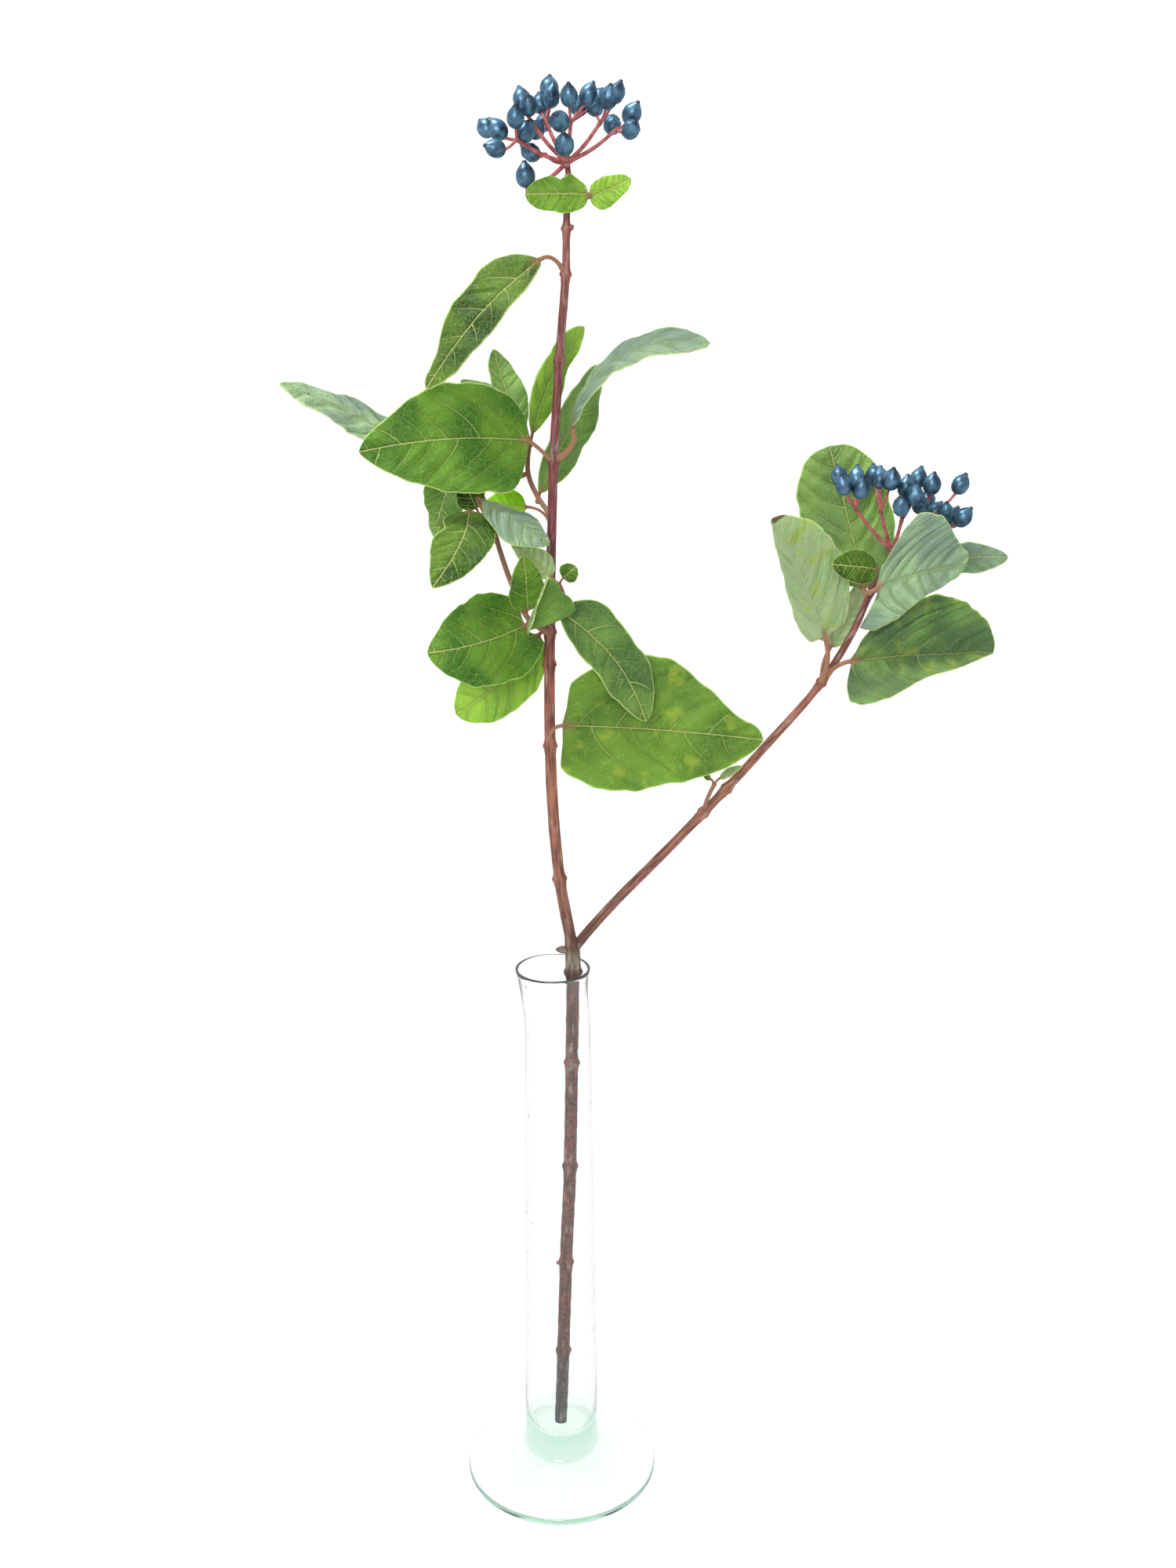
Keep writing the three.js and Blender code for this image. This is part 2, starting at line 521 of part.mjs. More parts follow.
// Each head is a stalk that forks into rays. A ray goes from its root to its knot, and from there a
// short stalk carries each berry, whose middle is listed.
const HEADS = {
  berries_top: {
    from: [6.1, 9, 511.5],
    fork: [5.6, 8.4, 515.5],
    rays: [
      {
        knot: [-11, -1, 522],
        berries: [[-17.5, 0, 525.5], [-22, 12, 527], [-18, -6, 519], [-8, 2, 525], [-11, -7, 528.5]],
      },
      {
        knot: [-6.5, 6, 528.5],
        berries: [[-6.8, -3, 532.5], [-9.5, 10, 536], [-5, 14, 526.5]],
      },
      {
        knot: [-1.5, 14, 529],
        berries: [[-3.5, 20, 535.5], [-2.5, 26, 530], [0.5, 13, 537], [-0.5, 24, 541]],
      },
      {
        knot: [7, 4, 528],
        berries: [[6.5, -3, 535.5], [13, 2, 536.5], [3.5, -10, 527], [9.5, 16, 534.5], [16.5, 21, 537.5]],
      },
      {
        knot: [17, 6, 528],
        berries: [[15, 11, 534], [19.5, -1, 535], [22.5, 8, 537.5]],
      },
      {
        knot: [22.5, 8, 526],
        berries: [[27.5, 3, 530.5], [27, -4, 525], [21, 17, 528.5]],
      },
      {
        knot: [-2, 11, 518.5],
        berries: [[-7, 14, 519.5]],
      },
      {
        knot: [-8, 7.5, 506.5],
        berries: [[-8.5, 7, 511.5]],
      },
      {
        knot: [5.5, -6, 515],
        berries: [[5, -14, 519.5]],
      },
    ],
  },
  berries_side: {
    from: [121.7, 8, 380],
    fork: [122.3, 8, 383.5],
    rays: [
      {
        knot: [108.5, 9, 398.5],
        berries: [[104, 20, 409], [103, 3, 407.5], [109.5, 15, 409], [109.5, 4, 406.5]],
      },
      {
        knot: [117.5, 8, 397.5],
        berries: [[117, 22, 409], [117.5, 12, 409], [119, -2, 410]],
      },
      {
        knot: [124, 2, 395],
        berries: [[125, 1, 407], [122.5, -4, 401], [126.8, -5, 405], [130.5, 8, 409.5]],
      },
      {
        knot: [132, 6, 394],
        berries: [[130, 0, 401], [134, 1, 408], [136.5, 20, 400.5], [138.5, 13, 397]],
      },
      {
        knot: [137.2, 3, 398.3],
        berries: [[145, 5, 407.5]],
      },
      {
        knot: [139.5, 3, 392],
        berries: [[138.5, -3, 398.5], [145.5, 0, 396.5], [143.5, 7, 395.5]],
      },
    ],
  },
};
const HEAD_STALK = 1;
const RAY = 0.7;
const BERRY_STALK = 0.5;
const STALK_END = 0.38; // from the berry's middle to the end of its stalk, in berry lengths
const BERRY_RISE = 0.5; // how much a berry turns up from the way of its stalk
const RAY_SAG = new THREE.Vector3(0, 0, -1); // at the middle of a ray

// A berry: a plump egg that draws in to a short blunt point at its far end.
const BERRY_PROFILE = [
  [0, -0.46],
  [0.74, -0.33],
  [1.03, -0.05],
  [0.72, 0.25],
  [0.2, 0.47],
  [0, 0.54],
];

function berry(middle, pointing) {
  const profile = BERRY_PROFILE.map(([r, z]) => new THREE.Vector2(r * BERRY_RADIUS, z * BERRY_LENGTH));
  const upright = new THREE.Quaternion().setFromUnitVectors(new THREE.Vector3(0, 1, 0), pointing);
  const geometry = new THREE.LatheGeometry(profile, 6).applyQuaternion(upright);
  return solid(geometry.translate(...middle.toArray()));
}

function head({ from, fork, rays }) {
  const stub = rod([from, fork], () => HEAD_STALK, { sides: 6, steps: 1 });
  const parts = rays.flatMap(({ knot, berries }) => {
    const knee = vec(fork).lerp(vec(knot), 0.5).add(RAY_SAG);
    const ray = rod([fork, knee.toArray(), knot], () => RAY, { sides: 4, steps: 3 });
    const fruit = berries.flatMap((place) => {
      const middle = vec(place);
      const outward = middle.clone().sub(vec(knot)).normalize();
      const pointing = outward.add(new THREE.Vector3(0, 0, BERRY_RISE)).normalize();
      const root = middle.clone().addScaledVector(pointing, -STALK_END * BERRY_LENGTH);
      const stalk = rod([knot, root.toArray()], () => BERRY_STALK, { sides: 4, steps: 1 });
      return [stalk, berry(middle, pointing)];
    });
    return [ray, ...fruit];
  });
  return union([stub, ...parts]);
}

// The finished object

const COLOURS = {
  glass: { color: 0xe4f1e8, roughness: 0.05, metalness: 0, transparent: true, opacity: 0.35 },
  bark: { color: 0x6b3f31, roughness: 0.75, metalness: 0 },
  leaf: { color: 0x4f8a2c, roughness: 0.5, metalness: 0 },
  berry: { color: 0x1c3f63, roughness: 0.3, metalness: 0.2 },
};

function piece(name, body, colour) {
  const material = new THREE.MeshStandardMaterial(COLOURS[colour]);
  const mesh = new THREE.Mesh(geometryOf(body), material);
  mesh.name = name;
  return mesh;
}

const object = new THREE.Group();
object.add(piece("vase", vase(), "glass"));
object.add(piece("stem", stem(0), "bark"));

// Wood made thicker by the gap trims the foot of each leaf stalk and berry head.
const clearance = stem(GAP);
for (const [name, spec] of Object.entries(LEAVES))
  object.add(piece("leaf_" + name, leaf(spec).subtract(clearance), "leaf"));
for (const [name, spec] of Object.entries(HEADS))
  object.add(piece(name, head(spec).subtract(clearance), "berry"));

export default object;
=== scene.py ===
"""A leafy viburnum stem with two heads of blue-black berries, standing in a slim glass bud vase."""
import bpy
import numpy as np
from math import cos, pi, radians, sin
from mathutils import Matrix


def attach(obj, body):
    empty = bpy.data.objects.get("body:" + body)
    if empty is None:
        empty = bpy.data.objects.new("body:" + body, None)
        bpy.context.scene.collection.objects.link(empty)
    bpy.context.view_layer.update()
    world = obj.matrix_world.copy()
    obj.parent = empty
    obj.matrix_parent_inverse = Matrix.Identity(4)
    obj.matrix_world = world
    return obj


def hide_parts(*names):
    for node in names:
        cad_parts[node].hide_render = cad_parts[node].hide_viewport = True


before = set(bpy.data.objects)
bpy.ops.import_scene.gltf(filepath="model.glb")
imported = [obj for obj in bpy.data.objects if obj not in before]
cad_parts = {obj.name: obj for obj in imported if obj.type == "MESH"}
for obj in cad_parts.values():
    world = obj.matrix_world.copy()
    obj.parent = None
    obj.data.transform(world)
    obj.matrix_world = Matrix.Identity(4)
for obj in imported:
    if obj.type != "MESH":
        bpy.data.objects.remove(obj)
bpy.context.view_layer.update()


# The camera
# It stands a little above the berry heads and looks down at the plant, with the lens of a short
# telephoto, so the vase's lip and foot both open into ellipses.

EYE = (0.012, -0.587, 0.471)
LOOK_DOWN = 16.4
ROLL = -0.2
LENS = 37.8
SENSOR = 36


def into_scene(name, data):
    """A new object of this data, in the scene."""
    thing = bpy.data.objects.new(name, data)
    bpy.context.scene.collection.objects.link(thing)
    return thing


camera = into_scene("camera", bpy.data.cameras.new("camera"))
camera.data.lens = LENS
camera.data.sensor_width = SENSOR
camera.data.clip_start = 0.01
camera.location = EYE
camera.rotation_euler = (radians(90 - LOOK_DOWN), 0, 0)
camera.rotation_euler.rotate_axis("Z", radians(ROLL))
bpy.context.scene.camera = camera


# The glass vase
# One piece of blown glass with a faint green tint: a wide flat foot, a thick solid bottom, a slim
# tube that narrows upwards, and a rounded lip that flares a little more to the left.

MM = 0.001
VASE_HEIGHT = 225
FOOT_RADIUS = 39
FOOT_EDGE = 3.4
TUBE_FOOT_RADIUS = 15
TUBE_NECK_RADIUS = 12.7
LIP_RADIUS = 14.4
LIP_SHIFT = -1.8
WALL_LOW = 2.2
WALL_HIGH = 1.8
FLOOR = 20
NECK = 205
LEAN = 195
VASE_STEPS = 420
VASE_SIDES = 144
GREEN_DEPTH = (0.1, 0.7, 0.4, 1)

OUTSIDE = [
    (0.1, 0), (20, 0), (FOOT_RADIUS - 1.2, 0), (FOOT_RADIUS - 0.3, 0.3), (FOOT_RADIUS, 1.1),
    (FOOT_RADIUS, FOOT_EDGE - 1.4), (FOOT_RADIUS - 0.4, FOOT_EDGE - 0.4), (FOOT_RADIUS - 1.4, FOOT_EDGE),
    (33, 5.1), (27, 7.2), (22, 9), (18.5, 10.9), (TUBE_FOOT_RADIUS + 0.9, 13.2), (TUBE_FOOT_RADIUS, 17.5),
    (TUBE_FOOT_RADIUS - 0.1, 30), (14.3, 80), (13.5, 140), (13, 180), (TUBE_NECK_RADIUS, NECK),
    (TUBE_NECK_RADIUS + 0.4, 215),
]
LIP = [
    (LIP_RADIUS - 0.6, VASE_HEIGHT - 3), (LIP_RADIUS - 0.1, VASE_HEIGHT - 1),
    (LIP_RADIUS - 0.05, VASE_HEIGHT - 0.3), (LIP_RADIUS - 0.45, VASE_HEIGHT),
    (LIP_RADIUS - 0.85, VASE_HEIGHT - 0.3), (LIP_RADIUS - 1.15, VASE_HEIGHT - 1.4),
    (LIP_RADIUS - 1.75, VASE_HEIGHT - 4),
]
INSIDE = [
    (TUBE_NECK_RADIUS - 1, 214), (TUBE_NECK_RADIUS - WALL_HIGH + 0.3, NECK),
    (13 - WALL_HIGH, 180), (13.5 - 1.9, 140), (14.3 - 2, 80), (TUBE_FOOT_RADIUS - WALL_LOW - 0.1, 35),
    (TUBE_FOOT_RADIUS - WALL_LOW - 0.3, 27), (TUBE_FOOT_RADIUS - WALL_LOW - 1.3, 22.8),
    (TUBE_FOOT_RADIUS - WALL_LOW - 3.6, 20.7), (5, FLOOR), (0.1, FLOOR),
]


def smooth_path(points, count):
    """A centripetal Catmull-Rom curve through the points, as count points at even steps of length.
    Between P1 and P2, with knots t that grow by the square root of each chord, it is the blend
    C = ((t2 - t) B1 + (t - t1) B2) / (t2 - t1) of Barry and Goldman's pyramid."""
    p = np.array(points, float)
    p = np.concatenate([[2 * p[0] - p[1]], p, [2 * p[-1] - p[-2]]])
    knots = np.concatenate([[0], np.cumsum(np.linalg.norm(np.diff(p, axis=0), axis=1) ** 0.5)])
    fine = np.linspace(knots[1], knots[-2], 60 * len(points))
    k = np.clip(np.searchsorted(knots, fine, "right") - 1, 1, len(p) - 3)

    def level(a, b, lower, upper):
        weight = ((fine - knots[k + a]) / (knots[k + b] - knots[k + a]))[:, None]
        return lower * (1 - weight) + upper * weight

    a1, a2, a3 = (level(i, i + 1, p[k + i], p[k + i + 1]) for i in (-1, 0, 1))
    b1, b2 = level(-1, 1, a1, a2), level(0, 2, a2, a3)
    curve = level(0, 1, b1, b2)
    way = np.concatenate([[0], np.cumsum(np.linalg.norm(np.diff(curve, axis=0), axis=1))])
    even = np.linspace(0, way[-1], count)
    return np.stack([np.interp(even, way, axis) for axis in curve.T], 1)


def skin(rings):
    """A closed skin over rings[i, j]: a quad between each pair of neighbours, and at either end a
    fan of triangles to the ring's middle. Returns the points and the faces."""
    count, sides, _ = rings.shape
    i, j = np.mgrid[0:count - 1, 0:sides]
    here = i * sides + j
    beside = i * sides + (j + 1) % sides
    quads = np.stack([here, beside, beside + sides, here + sides], -1).reshape(-1, 4)
    j = np.arange(sides)
    beside = (j + 1) % sides
    low, high = count * sides, count * sides + 1
    start = np.stack([beside, j, np.full(sides, low)], 1)
    end = np.stack([j, beside, np.full(sides, high)], 1) + np.array([low - sides, low - sides, 0])
    points = np.concatenate([rings.reshape(-1, 3), [rings[0].mean(0)], [rings[-1].mean(0)]])
    return points, [*quads.tolist(), *start.tolist(), *end.tolist()]


def make_piece(name, points, faces, material, slot, *nodes):
    """A smooth mesh of points in millimetres, which rides on the body and stands for the nodes."""
    mesh = bpy.data.meshes.new(name)
    mesh.from_pydata((points * MM).tolist(), [], faces)
    mesh.shade_smooth()
    mesh.materials.append(material)
    piece = into_scene(name, mesh)
    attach(piece, "root")
    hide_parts(*nodes)
    return piece


def paint(code):
    """A colour code as linear red, green, blue and alpha."""
    share = np.array([code >> 16 & 255, code >> 8 & 255, code & 255]) / 255
    linear = np.where(share > 0.04045, ((share + 0.055) / 1.055) ** 2.4, share / 12.92)
    return (*linear.tolist(), 1)


def add(tree, kind, inputs=(), **settings):
    """A shader node with its settings; inputs are pairs of socket and value, or socket to link."""
    node = tree.nodes.new("ShaderNode" + kind)
    for name, value in settings.items():
        setattr(node, name, value)
    for socket, value in inputs:
        if isinstance(value, bpy.types.NodeSocket):
            tree.links.new(value, node.inputs[socket])
        else:
            node.inputs[socket].default_value = value
    return node


def new_material(name, constants):
    """A node material whose main shader has these constants, with its tree and that shader."""
    material = bpy.data.materials.new(name)
    material.use_nodes = True
    tree = material.node_tree
    tree.nodes.clear()
    shader = add(tree, "BsdfPrincipled", constants)
    add(tree, "OutputMaterial", [("Surface", shader.outputs["BSDF"])])
    return material, tree, shader


def remap(tree, value, low, high, at_low, at_high, kind="LINEAR"):
    """The value carried from the range low to high into at_low to at_high, and held at both ends."""
    limits = [("From Min", low), ("From Max", high), ("To Min", at_low), ("To Max", at_high)]
    return add(tree, "MapRange", [("Value", value), *limits], interpolation_type=kind).outputs[0]


def set_relief(tree, shader, height, strength, depth):
    """A fine relief of the surface, which follows the height and is depth metres deep at 1."""
    bump = add(tree, "Bump", [("Height", height), ("Strength", strength), ("Distance", depth)])
    tree.links.new(bump.outputs["Normal"], shader.inputs["Normal"])


def glass_material():
    """Clear glass with the faint haze of a used vase, green only in its depth, with a few seeds."""
    material, tree, shader = new_material("vase glass", [
        ("Base Color", (1, 1, 1, 1)), ("Roughness", 0.01), ("IOR", 1.31), ("Transmission Weight", 0.975)])
    place = add(tree, "TexCoord").outputs["Object"]
    seeds = add(tree, "TexVoronoi", [("Vector", place), ("Scale", 90)]).outputs["Distance"]
    set_relief(tree, shader, remap(tree, seeds, 0.03, 0.08, 1, 0), 0.3, 0.0002)
    depth = add(tree, "VolumeAbsorption", [("Color", GREEN_DEPTH), ("Density", 10)])
    tree.links.new(depth.outputs[0], tree.nodes["Material Output"].inputs["Volume"])
    return material


def vase_rings(profile, sides):
    """The profile (r, z) carried round the axis: (r cos a + lean(z), r sin a, z)."""
    r, z = profile.T[:, :, None]
    angle = np.linspace(0, 2 * pi, sides, endpoint=False)
    rise = np.clip((z - LEAN) / (VASE_HEIGHT - LEAN), 0, 1)
    lean = LIP_SHIFT * rise ** 2 * (3 - 2 * rise)
    return np.stack([r * np.cos(angle) + lean, r * np.sin(angle), z + 0 * angle], -1)


vase_profile = smooth_path(OUTSIDE + LIP + INSIDE, VASE_STEPS)
make_piece("glass_vase", *skin(vase_rings(vase_profile, VASE_SIDES)), glass_material(), "glass", "vase")


# The woody stem
# One grown piece of thin reddish bark over wood, with a swollen ring at each pair of leaf scars. It
# forks just above the lip, carries short shoots with the leaves, and keeps three stubs of lost ones.

MAIN = [
    (-0.3, 0, 20.5), (1, 0.5, 54), (2.4, 1.5, 95), (4.3, 2.5, 138), (5.3, 3, 183), (6, 3.4, 221),
    (5.6, 3.6, 231.5), (1.1, 4.5, 259), (-1.7, 5.5, 297), (-2, 6, 342), (-1.3, 7, 373), (-0.7, 7.5, 393),
    (0.1, 8, 415), (2.4, 8.5, 450), (4.9, 9, 480), (5.3, 9, 496), (6.1, 9, 512),
]
SIDE = [
    (5.6, 3.8, 229), (8.5, 4.5, 233.5), (21, 6, 248), (38.2, 7, 266), (55.6, 8, 284.3),
    (77.6, 9, 309), (98.4, 10, 333.8), (109.5, 10, 353), (116, 9, 369), (122, 8, 380.5),
]
MAIN_NODES = [54, 95, 138, 183, 221, 259, 311, 342, 354, 415, 450, 479, 494]
SIDE_NODES = [284, 293.5, 334, 369]
MAIN_GIRTH = [
    (20, 2.5), (217, 2.55), (222, 3), (230, 2.9), (236, 2.2), (311, 2.05), (354, 1.9),
    (394, 1.65), (450, 1.5), (480, 1.4), (500, 1.15), (512, 1.1),
]
SIDE_GIRTH = [(229, 1.9), (293, 1.65), (334, 1.4), (369, 1.15), (381, 1)]
SHOOTS = {
    "crown": ([(6, 9, 501.5), (8.5, 6.5, 502.3), (11, 4, 503.6)], 0.7),
    "fan": ([(-0.6, 7.6, 396), (-6, 13, 403), (-9.2, 16, 410.5), (-9, 16.5, 421)], 0.9),
    "left": ([(-1.6, 6.5, 353.5), (-9.5, -1, 361), (-16, 1.5, 375), (-20.5, 3, 389),
              (-22.5, 4.5, 396)], 0.95),
    "left_arm": ([(-20.3, 3, 388), (-23.5, 2.6, 392.5), (-26.5, 2.5, 397)], 0.8),
    "right": ([(-1.5, 6.3, 356), (2.2, 3.8, 363.5), (3.4, 2.6, 368.5), (1.6, 2.2, 373)], 0.75),
    "bud": ([(55.6, 8, 284.5), (57, 6.5, 290.5), (59.6, 5, 297)], 0.8),
    "stub_fork": ([(5.6, 3.6, 230.5), (-0.6, 2.6, 231.2)], 1.5),
    "stub_low": ([(2.4, 1.5, 94.4), (-1.6, 0.6, 95.6)], 1),
    "stub_high": ([(5.3, 9, 494), (7.8, 8, 495.2)], 1.1),
}
SECTION_WAY = np.array([0.31, -0.9, 0.05])
MAIN_STEPS, MAIN_SIDES = 900, 28
SIDE_STEPS, SIDE_SIDES = 380, 22
SHOOT_STEPS, SHOOT_SIDES = 14, 18
NODE_SWELL = 0.75
NODE_SPREAD = 1.6
RIDGES = 11
OLD_WOOD = 236
GRAIN_RADIUS = 2.2
YOUTH = 0.65

# The bark's colour at shares of BARK_TOP metres above the table, from the cut end upwards.
BARK_TOP = 0.5
BARK_BY_HEIGHT = [
    (0.05, 0x343832), (0.1, 0x462A1E), (0.12, 0x5A2416), (0.3, 0x5C2618), (0.41, 0x582818),
    (0.44, 0x4A2E24), (0.446, 0x4E382C), (0.449, 0x7A705C), (0.457, 0x7E7664), (0.463, 0x553A2C),
    (0.471, 0x5C3C2E), (0.49, 0x7C5040), (0.6, 0x8A5642), (0.68, 0x7E463A), (0.76, 0x6C3034),
    (0.86, 0x6E3234), (1, 0x8A524A),
]
PALE_BARK = 0xA99B90
PORE = 0xC2A58F
YOUNG_BARK = 0x9A7456


def unit(v):
    """The vectors at length 1."""
    return v / np.linalg.norm(v, axis=-1, keepdims=True)


def around(sides, shift=0):
    """The angles of so many points all round, moved on by a share of one step."""
    return (np.arange(sides) + shift) / sides * 2 * pi


def rod_rings(path, radius, sides):
    """Rings round the path: P + side r cos a + up r sin a, with side and up square to the way."""
    ahead = unit(np.gradient(path, axis=0))
    side = unit(np.cross(SECTION_WAY, ahead))[:, None]
    up = np.cross(ahead[:, None], side)
    angle = around(sides, 0.5)[None, :, None]
    radius = np.broadcast_to(radius, (len(path), sides))[..., None]
    return path[:, None] + radius * (side * np.cos(angle) + up * np.sin(angle))


def wood_rings(points, girth, nodes, count, sides):
    """A woody rod: girth(z), plus a swollen ring at each node, plus fine lengthwise ridges of
    0.045 sin(11 a + slow turns), plus bumps that are higher on the old wood, and a rounded end."""
    path = smooth_path(points, count)
    z = path[:, 2:]
    angle = around(sides, 0.5)
    heights, radii = np.array(girth).T
    away = (z - np.array(nodes)[None]) / NODE_SPREAD
    swell = (np.exp(-away ** 2) - 0.5 * np.exp(-(2.6 * away + 1.2) ** 2)).sum(1, keepdims=True)
    way = np.linspace(0, 1, count)[:, None]
    ridges = 0.045 * np.sin(RIDGES * angle + 2.5 * np.sin(z / 9)) + 0.04 * np.sin(5 * angle - z / 7)
    rough = 0.035 + 0.07 * np.clip((OLD_WOOD - z) / 10, 0, 1)
    bumps = rough * np.sin(z / 1.3 + 3 * np.sin(3 * angle)) * np.sin(z / 5 + 2 * angle)
    rings = NODE_SWELL * swell * (1 + 0.18 * np.cos(2 * angle))
    radius = np.interp(z, heights, radii) + rings + ridges + bumps
    return rod_rings(path, radius * np.clip((1 - way) * count / 1.5 + 0.5, 0, 1) ** 0.5, sides)


def shoot_rings(points, radius, blunt):
    """A young shoot: r (1.1 - 0.2 t), flared where it leaves the wood, with a low ring at its end. A
    stub is blunt, and its last third rounds off as sqrt(3 (1 - t))."""
    path = smooth_path(points, SHOOT_STEPS * len(points))
    t = np.linspace(0, 1, len(path))[:, None]
    angle = around(SHOOT_SIDES)
    flare = 0.5 * np.exp(-(t / 0.08) ** 2) + 0.22 * np.exp(-((t - 0.94) / 0.05) ** 2)
    ridges = 0.03 * np.sin(6 * angle + 5 * t)
    end = np.clip(3 * (1 - t), 0.02, 1) ** 0.5 if blunt else 1
    return rod_rings(path, radius * (1.1 - 0.2 * t + flare + ridges) * end, SHOOT_SIDES)


def together(skins):
    """Several skins as one: their points one after another, with the faces' numbers moved on."""
    points = np.concatenate([p for p, _ in skins])
    starts = np.cumsum([0] + [len(p) for p, _ in skins])
    faces = [[v + start for v in face] for (_, own), start in zip(skins, starts) for face in own]
    return points, faces


def set_mark(piece, name, values):
    """One number for each point of the piece, for its material to read."""
    piece.data.attributes.new(name, "FLOAT", "POINT").data.foreach_set("value", values)


def grain_of(rings):
    """Where each point of a rod lies in its own wood, in millimetres: (g cos a, g sin a, way along),
    and then the same for the middles of both ends."""
    angle = around(rings.shape[1])
    middle = rings.mean(1)
    along = np.concatenate([[0], np.cumsum(np.linalg.norm(np.diff(middle, axis=0), axis=1))])[:, None]
    round_it = [GRAIN_RADIUS * np.cos(angle) + 0 * along, GRAIN_RADIUS * np.sin(angle) + 0 * along]
    grain = np.stack([*round_it, along + 0 * angle], -1).reshape(-1, 3)
    return np.concatenate([grain, [[0, 0, 0], [0, 0, along[-1, 0]]]])


def mark_of(tree, name):
    """The number that set_mark gave each point."""
    return add(tree, "Attribute", attribute_name=name).outputs["Fac"]


def noise(tree, vector, scale, detail):
    """Cloudy noise along the vector, round 0.5."""
    return add(tree, "TexNoise", [("Vector", vector), ("Scale", scale), ("Detail", detail)]).outputs["Fac"]


def blend(tree, amount, colour, other, kind="MIX"):
    """The colour, turned by the amount into the other one, or into the product of both."""
    sockets = [("Factor", amount), (6, colour), (7, other)]
    return add(tree, "Mix", sockets, data_type="RGBA", blend_type=kind).outputs[2]


def bark_material():
    """Thin bark. Its colour follows the height: brown with dark grit in the glass, grey-green at the
    fork, brown above it, and reddish crimson in the young wood. Pale flecks are its breathing pores."""
    material, tree, shader = new_material("viburnum bark", [("Roughness", 0.62)])
    height = add(tree, "SeparateXYZ", [(0, add(tree, "TexCoord").outputs["Object"])]).outputs["Z"]
    ramp = add(tree, "ValToRGB", [("Fac", remap(tree, height, 0, BARK_TOP, 0, 1))])
    stops = ramp.color_ramp.elements
    while len(stops) < len(BARK_BY_HEIGHT):
        stops.new(0.5)
    for stop, (position, code) in zip(stops, BARK_BY_HEIGHT):
        stop.position = position
        stop.color = paint(code)

    grain = add(tree, "Attribute", attribute_name="grain").outputs["Vector"]
    fibres = add(tree, "Mapping", [("Vector", grain), ("Scale", (1, 1, 0.12))]).outputs[0]
    strips = add(tree, "Mapping", [("Vector", grain), ("Scale", (1, 1, 0.3))]).outputs[0]
    streaks = noise(tree, fibres, 0.95, 6)
    grit = remap(tree, noise(tree, grain, 0.8, 5), 0.38, 0.62, 0.35, 1.9)
    old = remap(tree, height, 0.2, 0.235, 1, 0)
    pale = remap(tree, noise(tree, strips, 0.42, 6), 0.56, 0.72, 0, 0.6)
    pores = add(tree, "TexVoronoi", [("Vector", fibres), ("Scale", 0.42)]).outputs["Distance"]
    fleck = remap(tree, pores, 0.08, 0.16, 0.6, 0)

    colour = blend(tree, 1, ramp.outputs[0], remap(tree, streaks, 0.34, 0.66, 0.35, 1.6), "MULTIPLY")
    colour = blend(tree, old, colour, grit, "MULTIPLY")
    colour = blend(tree, pale, colour, paint(PALE_BARK))
    colour = blend(tree, fleck, colour, paint(PORE))
    colour = blend(tree, mark_of(tree, "young"), colour, paint(YOUNG_BARK))
    tree.links.new(colour, shader.inputs["Base Color"])
    relief = add(tree, "Math", [(0, streaks), (1, fleck)], operation="ADD").outputs[0]
    set_relief(tree, shader, relief, 0.9, 0.0007)
    return material


wood = [
    wood_rings(MAIN, MAIN_GIRTH, MAIN_NODES, MAIN_STEPS, MAIN_SIDES),
    wood_rings(SIDE, SIDE_GIRTH, SIDE_NODES, SIDE_STEPS, SIDE_SIDES),
]
youth = [0, 0]
for name, (points, radius) in SHOOTS.items():
    is_stub = name.startswith("stub")
    wood.append(shoot_rings(points, radius, is_stub))
    youth.append(0 if is_stub else YOUTH)
stem = make_piece("woody_stem", *together([skin(rings) for rings in wood]), bark_material(), "bark", "stem")
grain = np.concatenate([grain_of(rings) for rings in wood])
stem.data.attributes.new("grain", "FLOAT_VECTOR", "POINT").data.foreach_set("vector", grain.ravel())
set_mark(stem, "young", np.repeat(youth, [rings.shape[0] * rings.shape[1] + 2 for rings in wood]))


# The leaves
# Each leaf is one leathery blade on a short stalk, with a sunken midrib, side veins that arch
# forwards and a fine pale net between them. They grow in pairs from the stem and its shoots.

